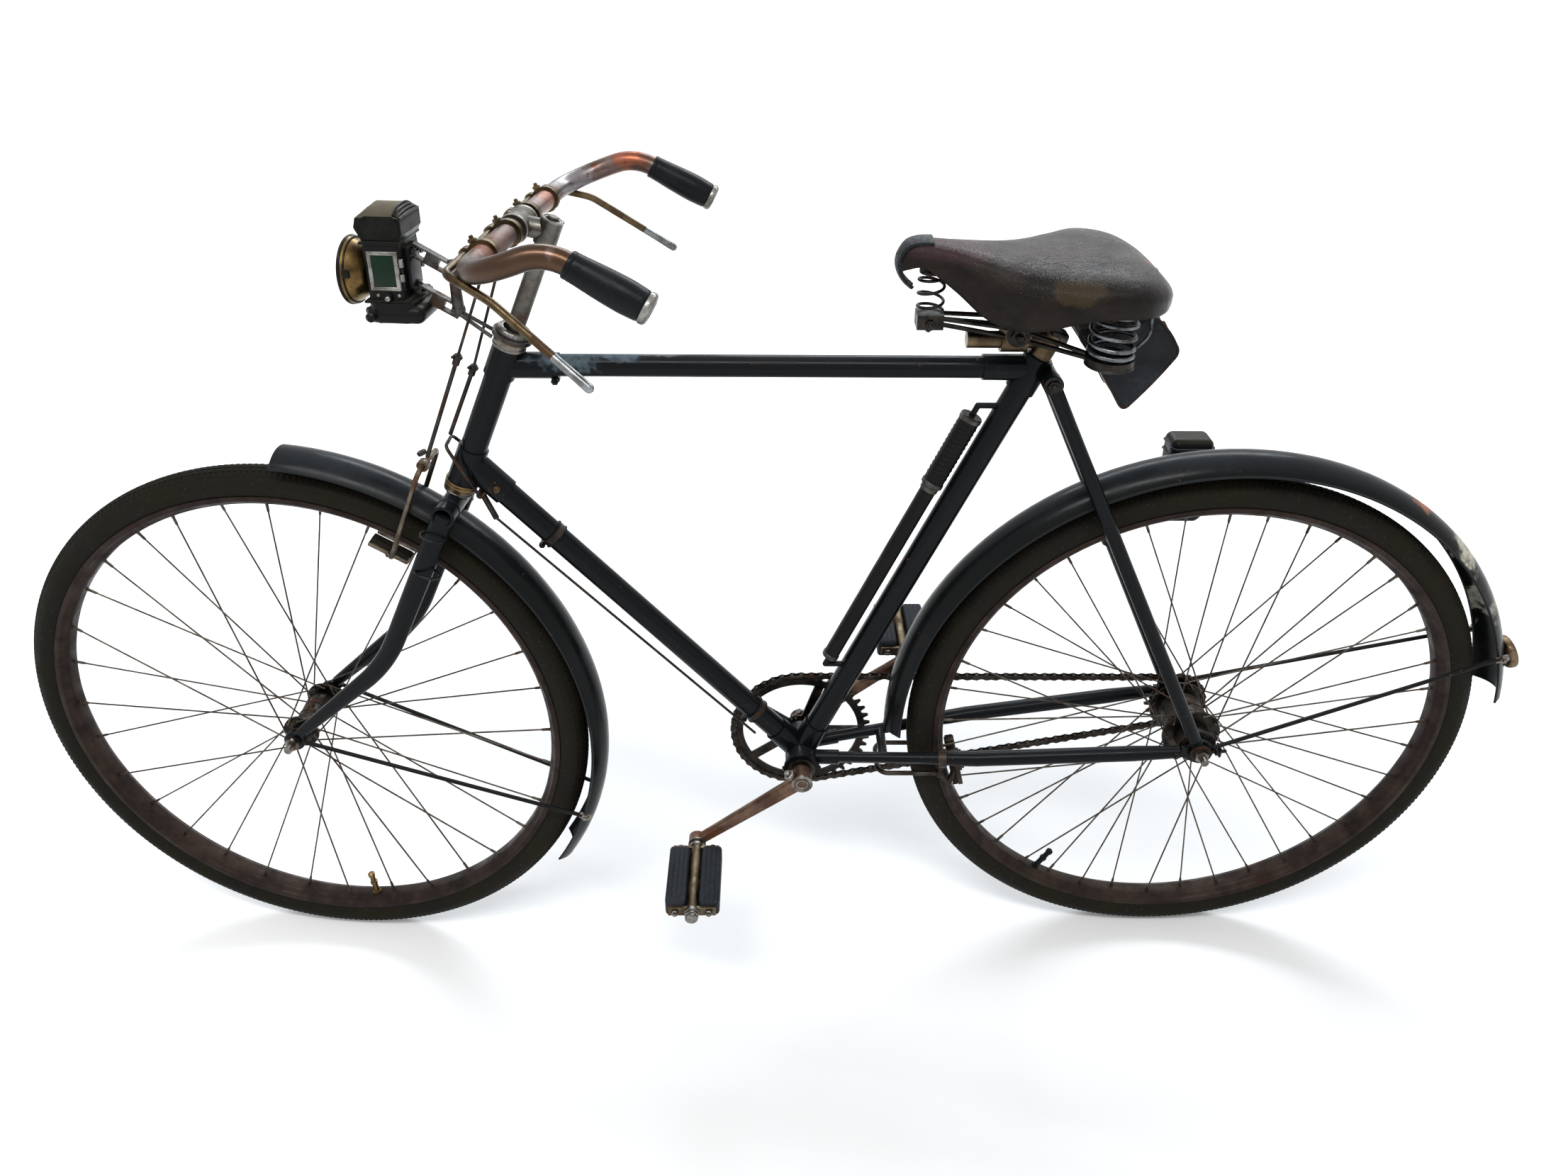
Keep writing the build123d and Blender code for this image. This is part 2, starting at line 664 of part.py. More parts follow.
# Mudguards and brakes

def guard_strip(edge_r, crest_r, arc):
    """A thin curved strip over a wheel, centred on the wheel's axle."""
    sweep_angle = arc[1] - arc[0]
    t = GUARD_WALL
    outer = ThreePointArc((edge_r, -GUARD_HALF), (crest_r, 0), (edge_r, GUARD_HALF))
    lip_a = Line((edge_r, GUARD_HALF), (edge_r, GUARD_HALF - t))
    inner = ThreePointArc((edge_r, GUARD_HALF - t), (crest_r - t, 0), (edge_r, -GUARD_HALF + t))
    lip_b = Line((edge_r, -GUARD_HALF + t), (edge_r, -GUARD_HALF))
    face = make_face(outer + lip_a + inner + lip_b)
    strip = revolve(face, axis=Axis.Y, revolution_arc=sweep_angle)
    return Rot(0, -arc[1], 0) * strip


def polar(radius, angle, y, centre=(0, 0, 0)):
    a = math.radians(angle)
    return (centre[0] + radius * math.cos(a), y, centre[2] + radius * math.sin(a))


def guard_stays(centre, lug_y, angle, edge_r, rise):
    """A pair of wire stays from the axle to the mudguard's edges."""
    wires = []
    for side in (-1, 1):
        start = (centre[0] + 14, side * (lug_y + STAY_WIRE_R + 0.4), centre[2] + rise)
        end = polar(edge_r + 3, angle, side * (GUARD_HALF + STAY_WIRE_R + 0.3), centre)
        wires.append(rod(start, end, STAY_WIRE_R))
    return Compound(wires)


# Steering parts, drawn straight ahead and turned together at the end

def fork_crown():
    centre = on_steering(CROWN_HEIGHT)
    tube = rod((centre[0], -CROWN_HALF, centre[2]), (centre[0], CROWN_HALF, centre[2]), CROWN_R)
    steerer = rod(centre, on_steering(HEAD_TUBE_END + 18), STEERER_R)
    part = tube + steerer
    for side in (-1, 1):
        mouth = rod((centre[0], side * (CROWN_HALF - 12), centre[2]),
                    (centre[0], side * (CROWN_HALF + 1), centre[2]), CROWN_BORE_R)
        part -= mouth
    return part - rod(on_steering(HEAD_TUBE_START + 60), on_steering(HEAD_TUBE_END + 20), STEM_R + RUNNING_FIT)


def fork_blade():
    """The right fork blade, tapering to the plate that holds the axle."""
    centre = on_steering(CROWN_HEIGHT)
    top = (centre[0], BLADE_TOP_Y, centre[2])
    corner = (BLADE_CORNER[0], (BLADE_TOP_Y + BLADE_LOW_Y) / 2 + 4, BLADE_CORNER[1])
    end = (BLADE_END[0], BLADE_LOW_Y, BLADE_END[1])
    path = FilletPolyline(top, corner, end, radius=BLADE_BEND_R)
    sections = []
    for share, long_r, short_r in BLADE_SECTIONS:
        plane = Plane(origin=path @ share, x_dir=(0, 1, 0), z_dir=path % share)
        sections.append(plane * Ellipse(short_r, long_r))
    blade = loft(sections, ruled=True)
    blade -= rod((centre[0], -CROWN_HALF, centre[2]), (centre[0], CROWN_HALF + 9, centre[2]), CROWN_R + LUG_FIT)
    y = BLADE_LOW_Y - DROPOUT_THICK / 2
    x, _, z = FRONT_HUB
    plate = rod((x, y, z), (x, y + DROPOUT_THICK, z), 13)
    tongue = Pos(x + 8, BLADE_LOW_Y, z + 7) * Rot(0, -36, 0) * Box(16, DROPOUT_THICK, 13)
    hole = rod((x, y - 1, z), (x, y + DROPOUT_THICK + 1, z), WHEEL_AXLE_R + RUNNING_FIT)
    return blade + plate + tongue - hole


def stem():
    """The post in the head, with the socket that reaches forward to the handlebar."""
    tube = rod(on_steering(HEAD_TUBE_START + 80), on_steering(STEM_TOP), STEM_R)
    clamp_x, _, clamp_z = moved_up(BAR_CLAMP)
    lug = rod((clamp_x, -BAR_LUG_HALF, clamp_z), (clamp_x, BAR_LUG_HALF, clamp_z), BAR_R + 3.5)
    socket = rod(on_steering(STEM_TOP - 27), on_steering(STEM_TOP), STEM_SOCKET_R)
    neck = rod(on_steering(STEM_TOP - 12), (clamp_x, 0, clamp_z), STEM_SOCKET_R - 1)
    hole = rod((clamp_x, -BAR_LUG_HALF - 1, clamp_z), (clamp_x, BAR_LUG_HALF + 1, clamp_z), BAR_R + LUG_FIT)
    return tube + socket + lug + neck - hole


def handlebar():
    mirror = [(x, -y, z) for x, y, z in (BAR_END, BAR_CREST, BAR_FRONT)]
    points = mirror + [BAR_FRONT, BAR_CREST, BAR_END]
    radii = [BAR_CREST_BEND, BAR_FRONT_BEND, BAR_FRONT_BEND, BAR_CREST_BEND]
    return bent_rod([moved_up(point) for point in points], radii, BAR_R)


def grip():
    """The right handlebar grip, full in the middle and closed at its end."""
    bar_end = moved_up(BAR_END)
    way = tuple((Vector(*BAR_END) - Vector(*BAR_CREST)).normalized())
    start = along(bar_end, way, -GRIP_LENGTH + 4)
    body = None
    for (share, radius), (after, end_radius) in zip(GRIP_ROUND, GRIP_ROUND[1:]):
        near, far = along(start, way, share * GRIP_LENGTH), along(start, way, after * GRIP_LENGTH)
        piece = rod(near, far, radius, end_radius)
        body = piece if body is None else body + piece
    return body - rod(along(start, way, -1), along(bar_end, way, GRIP_FIT), BAR_R + GRIP_FIT)


def head_cups():
    low = ring(on_steering(HEAD_TUBE_START - CUP_HEIGHT), on_steering(HEAD_TUBE_START - LUG_FIT), CUP_R, HEAD_BORE_R)
    high = ring(on_steering(HEAD_TUBE_END + LUG_FIT), on_steering(HEAD_TUBE_END + CUP_HEIGHT), CUP_R, HEAD_BORE_R)
    return Compound([low, high])


def head_cones():
    crown_top = CROWN_HEIGHT + CROWN_R
    bore = STEERER_R + LUG_FIT
    low = ring(on_steering(crown_top + 0.1), on_steering(HEAD_TUBE_START - CUP_HEIGHT - RACE_GAP), CONE_R, bore)
    start = HEAD_TUBE_END + CUP_HEIGHT + RACE_GAP
    high = ring(on_steering(start), on_steering(start + LOCK_RING_HEIGHT), CONE_R, bore)
    return Compound([low, high])


# Saddle and seat post

def seat_post():
    """The post with its bent-over pin, and the clamp on that pin."""
    low = on_seat_tube(TOP_TUBE_HEIGHT - 60)
    top = on_seat_tube(SEAT_POST_TOP)
    pin_z = SEAT_POST_TOP - SEAT_PIN_DROP
    post = rod(low, top, SEAT_POST_R)
    pin = rod((top[0] + 6, 0, pin_z), (top[0] - SEAT_PIN_FRONT, 0, pin_z), SEAT_PIN_R)
    return Compound([post + pin, at(saddle_clamp(), SEAT_MOVE)])


SADDLE_STATIONS = (
    # x, half width, top z at the middle, z of the shoulders, z of the lower edge
    (-400, 9, 614, 607, 598),
    (-390, 16, 626, 616, 604),
    (-374, 21, 631, 618, 606),
    (-344, 30, 628.5, 612, 586),
    (-315, 48, 625, 602, 564),
    (-289, 64, 622, 596, 557),
    (-262, 80, 621, 594, 562),
    (-230, 95, 622, 602, 576),
    (-200, 103, 625, 608, 583),
    (-168, 98, 622, 604, 582),
    (-145, 80, 612, 598, 582),
    (-130, 52, 599, 592, 581),
)


def saddle_cover():
    """The leather top as a closed dome with an open underside."""
    outer = []
    inner = []
    first, last = SADDLE_STATIONS[0][0], SADDLE_STATIONS[-1][0]
    for x, half, top, shoulder, low in SADDLE_STATIONS:
        outer.append(saddle_section(x, half, top, shoulder, low, 0))
        inner_x = min(max(x, first + SADDLE_WALL), last - SADDLE_WALL)
        inner.append(saddle_section(inner_x, half, top, shoulder, low, SADDLE_WALL))
    return loft(outer, ruled=True) - loft(inner, ruled=True)


def saddle_section(x, half, top, shoulder, low, wall):
    """One cross section of the saddle, arched over the top and open below."""
    floor_z = low - (4 if wall else 0)
    w = half - wall
    side_z = shoulder - wall * 0.4
    plane = Plane(origin=(x, 0, 0), x_dir=(0, 1, 0), z_dir=(1, 0, 0))
    crown = ThreePointArc((-w, side_z), (0, top - wall), (w, side_z))
    side_a = Line((w, side_z), (w, floor_z))
    floor = Line((w, floor_z), (-w, floor_z))
    side_b = Line((-w, floor_z), (-w, side_z))
    return plane * make_face(crown + side_a + floor + side_b)


RAIL_R = 2.6
RAIL_RISE = 10
RAIL_LEVEL = 541
CLAMP_LEVEL = 536
CLAMP_R = 14
REAR_SPRING = (-187, 62)
REAR_SPRING_FOOT = 530
REAR_COIL_R = 22
SPRING_SEAT = 584
FRONT_SPRING = (-364, 0)
FRONT_SPRING_FOOT = 553
FRONT_COIL_R = 13.5
NOSE_SEAT = 596
SPRING_PLATE = 3
NOSE_TOP = 623.6
RAIL_MIDDLE = (-273, 19)
SADDLE_DRAWN_AT = 490
SADDLE_DRAWN_X = -248.69
SEAT_MOVE = tuple(a - b for a, b in zip(on_seat_tube(TOP_TUBE_HEIGHT), (SADDLE_DRAWN_X, 0, SADDLE_DRAWN_AT)))


def rail_wires(radius):
    """The four wires under the saddle, of any radius, as a list."""
    wires = []
    front_x, _ = FRONT_SPRING
    rear_x, rear_y = REAR_SPRING
    for side in (-1, 1):
        for rise in (0, -RAIL_RISE):
            points = [(front_x + 6, side * 8, FRONT_SPRING_FOOT - 4 + rise * 0.6),
                      (RAIL_MIDDLE[0], side * RAIL_MIDDLE[1], RAIL_LEVEL + rise),
                      (rear_x, side * rear_y, REAR_SPRING_FOOT - 6 + rise * 0.3)]
            wires.append(bent_rod(points, [60], radius))
    return wires


def saddle_clamp():
    """The clamp that grips the seat pin and the four wires."""
    x, y = RAIL_MIDDLE
    pin_z = SADDLE_DRAWN_AT + SEAT_POST_RISE - SEAT_PIN_DROP
    clamp = rod((x, -y - 6, CLAMP_LEVEL), (x, y + 6, CLAMP_LEVEL), CLAMP_R)
    clamp += rod((x - CLAMP_R, 0, pin_z), (x + CLAMP_R, 0, pin_z), SEAT_PIN_R + 4)
    clamp -= rod((x - 40, 0, pin_z), (x + 40, 0, pin_z), SEAT_PIN_R + LUG_FIT)
    for wire in rail_wires(RAIL_R + LUG_FIT):
        clamp -= wire
    return clamp


def saddle_rails():
    """Twin wires on each side, from the front spring's block to the rear springs' feet."""
    front_x, _ = FRONT_SPRING
    rear_x, rear_y = REAR_SPRING
    part = Pos(front_x, 0, FRONT_SPRING_FOOT - 8 - SEAT_GAP) * Box(28, 24, 16)
    for wire in rail_wires(RAIL_R):
        part += wire
    for side in (-1, 1):
        x, y, z = rear_x, side * rear_y, REAR_SPRING_FOOT - SEAT_GAP
        part += rod((x, y, z - 8), (x, y, z), REAR_COIL_R + 2.5)
    return part


def saddle_plates():
    """The rear plate under the leather, over the springs, and the nose piece."""
    rear_x, rear_y = REAR_SPRING
    z = SPRING_SEAT + SEAT_GAP
    points = [(rear_x, -rear_y, z + 4), (HOOP_X, -30, z + 8), (HOOP_X, 30, z + 8), (rear_x, rear_y, z + 4)]
    rear = bent_rod(points, [30, 30], HOOP_R)
    for side in (-1, 1):
        rear += rod((rear_x, side * rear_y, z), (rear_x, side * rear_y, z + 5), REAR_COIL_R + 2.5)
    x, _ = FRONT_SPRING
    nose = rod((x, 0, NOSE_SEAT + SEAT_GAP), (x, 0, NOSE_SEAT + SPRING_PLATE), FRONT_COIL_R)
    nose += rod((x, 0, NOSE_SEAT + SPRING_PLATE), (x, 0, NOSE_TOP), 4)
    return Compound([rear, nose])


def coil(centre, mean_r, wire_r, turns, height, steps=12):
    """A coil spring of flat-sided wire, standing on its lower end."""
    rows = []
    total = int(turns * steps)
    half = wire_r * math.sin(math.pi / 4)
    for index in range(total + 1):
        angle = 2 * math.pi * index / steps
        rise = half + (height - 2 * half) * index / total
        row = []
        for corner in range(4):
            turn = math.pi / 4 + corner * math.pi / 2
            radius = mean_r + wire_r * math.cos(turn)
            row.append(Vector(centre[0] + radius * math.cos(angle), centre[1] + radius * math.sin(angle),
                              centre[2] + rise + wire_r * math.sin(turn)))
        rows.append(row)
    faces = [Face(Wire.make_polygon(rows[0], close=True)), Face(Wire.make_polygon(rows[-1], close=True))]
    for low, high in zip(rows, rows[1:]):
        for corner in range(4):
            after = (corner + 1) % 4
            a, b, c, d = low[corner], low[after], high[after], high[corner]
            faces.append(Face(Wire.make_polygon([a, b, c], close=True)))
            faces.append(Face(Wire.make_polygon([a, c, d], close=True)))
    return Solid(Shell(faces))


BAG_HALF = 34
BAG_OUTLINE = [(-216, 543), (-154.5, 452), (-103, 522), (-134, 562)]
HOOP_X = -164
HOOP_R = 4


def tool_bag():
    """The leather bag behind the seat tube, hung by two loops from the saddle's rear hoop."""
    outline = make_face(Polyline(*BAG_OUTLINE, close=True))
    outline = fillet(outline.vertices(), 9)
    plane = Plane(origin=(0, BAG_HALF, 0), x_dir=(1, 0, 0), z_dir=(0, -1, 0))
    block = extrude(plane * outline, 2 * BAG_HALF)
    straight = block.edges().filter_by(GeomType.LINE).filter_by(Plane.XZ)
    bag = chamfer(block.edges().filter_by(GeomType.CIRCLE) + straight, 5)
    hoop_z = SPRING_SEAT + SEAT_GAP + 8
    for y in (-13, 13):
        loop = rod((HOOP_X, y - 6, hoop_z), (HOOP_X, y + 6, hoop_z), HOOP_R + 2)
        tail = Pos(-154, y, 571) * Rot(0, -28, 0) * Box(3, 12, 48)
        bag += loop + tail
        bag -= rod((HOOP_X, y - 7, hoop_z), (HOOP_X, y + 7, hoop_z), HOOP_R + LUG_FIT)
    return bag


# Other fittings on the frame

PUMP_GAP = 20
PUMP_BOTTOM = 100
PUMP_TOP_DROP = 58
PUMP_HANDLE = 88
PUMP_R = 9.5
PUMP_HANDLE_R = 12
PEG_R = 3.5
PEG_REACH = 12


def pump_line(height):
    """A point on the pump's axis, ahead of the seat tube, by level."""
    x, y, z = on_seat_tube(height)
    return (x - PUMP_GAP - SEAT_TUBE_R, y, z)


PUMP_SPAN = (PUMP_BOTTOM, TOP_TUBE_HEIGHT - PUMP_TOP_DROP)


def pump():
    handle_start = PUMP_SPAN[1] - PUMP_HANDLE
    barrel = rod(pump_line(PUMP_SPAN[0]), pump_line(handle_start), PUMP_R)
    return barrel + rod(pump_line(handle_start), pump_line(PUMP_SPAN[1]), PUMP_HANDLE_R)


def pump_pegs():
    """The two brazed pegs whose points hold the pump by its ends."""
    pegs = []
    for end, inward in ((PUMP_SPAN[0], 1), (PUMP_SPAN[1], -1)):
        height = end - inward * PEG_REACH
        corner = pump_line(height)
        stalk = rod(on_seat_tube(height), corner, PEG_R)
        tip = rod(corner, along(pump_line(end), SEAT_DIR, -inward * SEAT_GAP), PEG_R)
        peg = stalk + tip + Pos(*corner) * Sphere(PEG_R)
        pegs.append(peg - rod(BRACKET, on_seat_tube(TOP_TUBE_HEIGHT), SEAT_TUBE_R + LUG_FIT))
    return Compound(pegs)


TAIL_ANGLE = 16
TAIL_LAMP_R = 20.5
TAIL_LAMP_LENGTH = 12


def tail_reflector():
    """The round red lamp on the end of the rear mudguard."""
    way = (math.cos(math.radians(TAIL_ANGLE)), 0, math.sin(math.radians(TAIL_ANGLE)))
    centre = along((REAR_GUARD_SHIFT, 0, 0), way, GUARD_CREST_R + SEAT_GAP)
    return rod(centre, along(centre, way, TAIL_LAMP_LENGTH), TAIL_LAMP_R)


REAR_LAMP_CENTRE = (-25, 91, 305)
REAR_LAMP_SIZE = (52, 36, 114)
REAR_LAMP_ROUND = 9
REAR_LAMP_CLAMP = 262
REAR_LAMP_ARM_R = 4


def rear_lamp():
    """The lamp case on the right seat stay, with its clamp."""
    case = Pos(*REAR_LAMP_CENTRE) * Box(*REAR_LAMP_SIZE)
    case = fillet(case.edges(), REAR_LAMP_ROUND)
    stay_top = (SEAT_STAY_TOP[0], SEAT_STAY_TOP_Y, SEAT_STAY_TOP[1])
    way = tuple((Vector(*STAY_LOW) - Vector(*stay_top)).normalized())
    middle = along(stay_top, way, REAR_LAMP_CLAMP)
    clamp = rod(along(middle, way, -9), along(middle, way, 9), SEAT_STAY_R + 3)
    x, y, z = REAR_LAMP_CENTRE
    arm = rod(middle, (x - 8, y, z - 35), REAR_LAMP_ARM_R)
    part = case + clamp + arm
    return part - rod(along(middle, way, -30), along(middle, way, 30), SEAT_STAY_R + LUG_FIT)


# The head lamp: x of its front and back, half width, levels of tank, case, hood and roof
LAMP_FRONT = -942
LAMP_BACK = -904
LAMP_HALF = 28
LAMP_TANK = (543, 566)
LAMP_CASE_TOP = 629
LAMP_HOOD_EDGE = 652
LAMP_ROOF = 663
LAMP_RIM = (-968, 591)
LAMP_RIM_R = 36
LAMP_DISH_BACK_R = 21
LAMP_DISH_WALL = 2


def lamp_case():
    """The lamp's case with its wider tank below."""
    low, high = LAMP_TANK
    middle = (LAMP_FRONT + LAMP_BACK) / 2
    height = LAMP_CASE_TOP - high
    case = Pos(middle, 0, (LAMP_CASE_TOP + high) / 2) * Box(LAMP_BACK - LAMP_FRONT, 2 * LAMP_HALF, height)
    case = fillet(case.edges().filter_by(Axis.Z), 5)
    tank = Pos(middle + 5, 0, (low + high) / 2) * Box(LAMP_BACK - LAMP_FRONT + 12, 2 * LAMP_HALF + 10, high - low)
    tank = fillet(tank.edges().filter_by(Axis.Z), 12)
    return case + fillet(tank.faces().sort_by(Axis.Z)[0].edges(), 6)


def lamp_hood():
    """The arched hood on the lamp, with its corners cut."""
    half = LAMP_HALF - 2
    arch = ThreePointArc((-half, LAMP_HOOD_EDGE), (0, LAMP_ROOF), (half, LAMP_HOOD_EDGE))
    sides = Polyline((half, LAMP_HOOD_EDGE), (half, LAMP_CASE_TOP), (-half, LAMP_CASE_TOP), (-half, LAMP_HOOD_EDGE))
    plane = Plane(origin=(LAMP_FRONT - 6, 0, 0), x_dir=(0, 1, 0), z_dir=(1, 0, 0))
    vault = extrude(plane * make_face(arch + sides), LAMP_BACK - LAMP_FRONT + 12)
    front, back = LAMP_FRONT - 5, LAMP_BACK + 5
    outline = make_face(Polyline((front + 6, LAMP_CASE_TOP), (back - 3, LAMP_CASE_TOP), (back, LAMP_CASE_TOP + 6),
                                 (back, LAMP_ROOF - 12), (back - 9, LAMP_ROOF), (front + 16, LAMP_ROOF),
                                 (front + 3, LAMP_HOOD_EDGE), (front, LAMP_CASE_TOP + 12), close=True))
    side = Plane(origin=(0, half, 0), x_dir=(1, 0, 0), z_dir=(0, -1, 0))
    return vault & extrude(side * outline, 2 * half)


def lamp_body():
    return lamp_case() + lamp_hood()


def lamp_reflector():
    """The lamp's round dish, open to the front."""
    x, z = LAMP_RIM
    back = LAMP_FRONT - SEAT_GAP
    dish = rod((back, 0, z), (x, 0, z), LAMP_DISH_BACK_R, LAMP_RIM_R)
    slope = (LAMP_RIM_R - LAMP_DISH_BACK_R) / (back - x)
    inner = rod((back - LAMP_DISH_WALL, 0, z), (x - 1, 0, z), LAMP_DISH_BACK_R - LAMP_DISH_WALL,
                LAMP_RIM_R - LAMP_DISH_WALL + slope * (1 - LAMP_DISH_WALL))
    return dish - inner


# The linkage behind the lamp: middle of each slotted arm, then the upright link's ends
LINK_ARMS = ((-879.5, 604), (-878.5, 560))
LINK_ARM_LENGTH = 50
LINK_ARM_TILT = 29.6
LINK_TOP = (-860.5, 602)
LINK_FOOT = (-859, 545)
LINK_R = 5
LINK_WIRE_R = 2.2


def lamp_bracket():
    """The slotted arms and upright link behind the lamp, and the ring that holds them at the head."""
    part = rod((LINK_TOP[0], 0, LINK_TOP[1]), (LINK_FOOT[0], 0, LINK_FOOT[1]), LINK_R, LINK_R + 1.5)
    for x, z in LINK_ARMS:
        arm = Box(LINK_ARM_LENGTH, 9, 14)
        for shift in (-15, 13):
            arm -= Pos(shift, 0, 0) * Box(13, 10, 10)
        part += Pos(x, 0, z) * Rot(0, LINK_ARM_TILT, 0) * arm
    part -= Pos((LAMP_FRONT + LAMP_BACK) / 2, 0, 600) * Box(LAMP_BACK - LAMP_FRONT + 2 * SEAT_GAP, 60, 120)
    part -= Pos(LAMP_BACK, 0, LAMP_TANK[0]) * Box(2 * 11.3, 60, 2 * (LAMP_TANK[1] - LAMP_TANK[0] + SEAT_GAP))
    low = HEAD_DRAWN_END + CUP_HEIGHT + RACE_GAP + 2
    part += ring(on_steering(low), on_steering(low + 5), CONE_R + 5, CONE_R + LUG_FIT)
    front = along(on_steering(low + 2.5), (-1, 0, 0), CONE_R + 3)
    for side in (-1, 1):
        part += rod((LINK_FOOT[0], side * 3, LINK_FOOT[1] + 3), (front[0], side * 8.4, front[2]), LINK_WIRE_R)
    return part


LEVER_R = 4.1
LEVER_BAR = (-803.5, 645)
LEVER_PATH = [
    (LEVER_BAR[0], 24, LEVER_BAR[1]),
    (LEVER_BAR[0], 170, LEVER_BAR[1] - 2),
    (-757, 193, 627),
    (-664, 223.5, 559),
]
LEVER_BENDS = [14, 45]
LEVER_CLIPS = (30, 104)
LEVER_CLIP_WIDTH = 9
LEVER_CLIP_WALL = 2.5


def brake_lever():
    """The right brake lever, ahead of the bar and then below the grip."""
    return bent_rod([moved_up(point) for point in LEVER_PATH], LEVER_BENDS, LEVER_R)


def lever_brackets():
    """Clips on the handlebar that carry the levers' straight runs."""
    parts = []
    x, _, z = moved_up(BAR_CLAMP)
    first, second = moved_up(LEVER_PATH[0]), moved_up(LEVER_PATH[1])
    way = tuple((Vector(*second) - Vector(*first)).normalized())
    for y in LEVER_CLIPS:
        end = y + LEVER_CLIP_WIDTH
        start = along(first, way, y - first[1])
        part = rod((x, y, z), (x, end, z), BAR_R + LEVER_CLIP_WALL)
        part += rod(start, along(start, way, LEVER_CLIP_WIDTH), LEVER_R + LEVER_CLIP_WALL)
        part -= rod((x, y - 1, z), (x, end + 1, z), BAR_R + LUG_FIT)
        part -= rod(along(start, way, -1), along(start, way, LEVER_CLIP_WIDTH + 1), LEVER_R + RUNNING_FIT)
        parts.append(part)
        parts.append(mirrored(part))
    return Compound(parts)


STIRRUP_HALF = 32
STIRRUP_TOP = (-915, 373)
STIRRUP_FOOT = (-959.5, 264)
PAD_ANGLE = 61
PAD_REACH = RIM_INNER_R - 10.5
PAD_SIZE = (46, 10, 11)
PAD_Y = 14
PAD_ARM_R = 3.5
ROD_R = 2.4
THIN_ROD_R = 1.6
ROD_RUNS = (
    # y at the lever, x at the lever, joint of thin and thick rod, lower end
    (-27, LEVER_BAR[0], (-859, -20, 505), (-909.5, -15, 383)),
    (27, LEVER_BAR[0], (-852, 4, 484), (-886, 0, 405)),
)


def front_stirrup():
    """The stirrup over the front mudguard, with the pads it holds inside the rim."""
    x, z = STIRRUP_TOP
    foot_x, foot_z = STIRRUP_FOOT
    wire = bent_rod([(foot_x, -STIRRUP_HALF, foot_z), (x, -STIRRUP_HALF, z), (x, STIRRUP_HALF, z),
                     (foot_x, STIRRUP_HALF, foot_z)], [14, 14], 3)
    knob = rod((x, -19, z), (x, -11, z), 7)
    part = wire + knob
    for side in (-1, 1):
        pad_x, _, pad_z = polar(PAD_REACH, PAD_ANGLE, 0, FRONT_HUB)
        pad = Pos(pad_x, side * PAD_Y, pad_z) * Rot(0, 90 - PAD_ANGLE, 0) * Box(*PAD_SIZE)
        part += pad + rod((foot_x, side * (STIRRUP_HALF + 3), foot_z), (pad_x, side * PAD_Y, pad_z), PAD_ARM_R)
    return part


def brake_rods():
    """The two pull rods, thin above and thick below, from the levers' ends."""
    rods = []
    lever_x, _, lever_z = moved_up((LEVER_BAR[0], 0, LEVER_BAR[1]))
    for y, top_x, joint, foot in ROD_RUNS:
        thin = rod(joint, (top_x, y, lever_z - LEVER_R - 3 * SEAT_GAP), THIN_ROD_R)
        thick = rod(foot, joint, ROD_R)
        way = tuple((Vector(*joint) - Vector(*foot)).normalized())
        nut = rod(along(joint, way, -9), along(joint, way, 3), ROD_R + 1.6)
        rods.append(thin + thick + nut)
    return Compound(rods)


REAR_STIRRUP_HALF = 28
REAR_STIRRUP_FRONT = (-392, -66)
REAR_STIRRUP_END = (-300, -82)
STIRRUP_R = 3
CLIP_X = -312
CLIP_R = 12
CLIP_HALF = 5
ROD_DROP = 12
REAR_PAD_ANGLE = 193.5
CARRIER = (
    # x, y, z of the wire that goes round the head tube's foot
    (-859, 10, 333),
    (-866, 26.5, 366),
    (-888, 14, 398),
)
BELL_CRANK = ((-859.2, 0, 332.4), (-846, 0, 298))
CARRIER_R = 2
CARRIER_BEND = 8
PIVOT_R = 4
PIVOT_HALF = 9
STRAPS = (130, 480)


def rear_brake():
    """The rear brake's stirrup and clips on the chain stays, with its rod along the down tube."""
    front_x, front_z = REAR_STIRRUP_FRONT
    end_x, end_z = REAR_STIRRUP_END
    half = REAR_STIRRUP_HALF
    wire = bent_rod([(end_x, -half, end_z), (CLIP_X, -half, front_z), (front_x, -half, front_z),
                     (front_x, half, front_z), (CLIP_X, half, front_z), (end_x, half, end_z)],
                    [14, 14, 14, 14], STIRRUP_R)
    for side in (-1, 1):
        pad_x, _, pad_z = polar(PAD_REACH, REAR_PAD_ANGLE, 0)
        pad = Pos(pad_x, side * PAD_Y, pad_z) * Rot(0, 90 - REAR_PAD_ANGLE, 0) * Box(*PAD_SIZE)
        wire += pad + rod((end_x, side * (half + 2), end_z), (pad_x, side * PAD_Y, pad_z), PAD_ARM_R)
    parts = [wire]
    centre = on_chain_stay(CLIP_X)
    ahead = on_chain_stay(CLIP_X + 5)
    way = tuple((Vector(*ahead) - Vector(*centre)).normalized())
    clip = rod(along(centre, way, -CLIP_HALF), along(centre, way, CLIP_HALF), CLIP_R)
    clip += rod((CLIP_X, half, front_z), (CLIP_X, half + 1, centre[2] - 6), PAD_ARM_R)
    clip += rod((CLIP_X - 4, half, front_z), (CLIP_X + 4, half, front_z), STIRRUP_R + 2.5)
    for index in (1, 2):
        radius, after = CHAIN_STAY_STATIONS[index][2] + LUG_FIT, CHAIN_STAY_STATIONS[index + 1][2] + LUG_FIT
        clip -= rod(stay_station(index), stay_station(index + 1), radius, after)
    clip -= rod((CLIP_X - 30, half, front_z), (CLIP_X + 30, half, front_z), STIRRUP_R + LUG_FIT)
    parts += [clip, mirrored(clip)]
    parts += down_tube_rod()
    return Compound(parts)


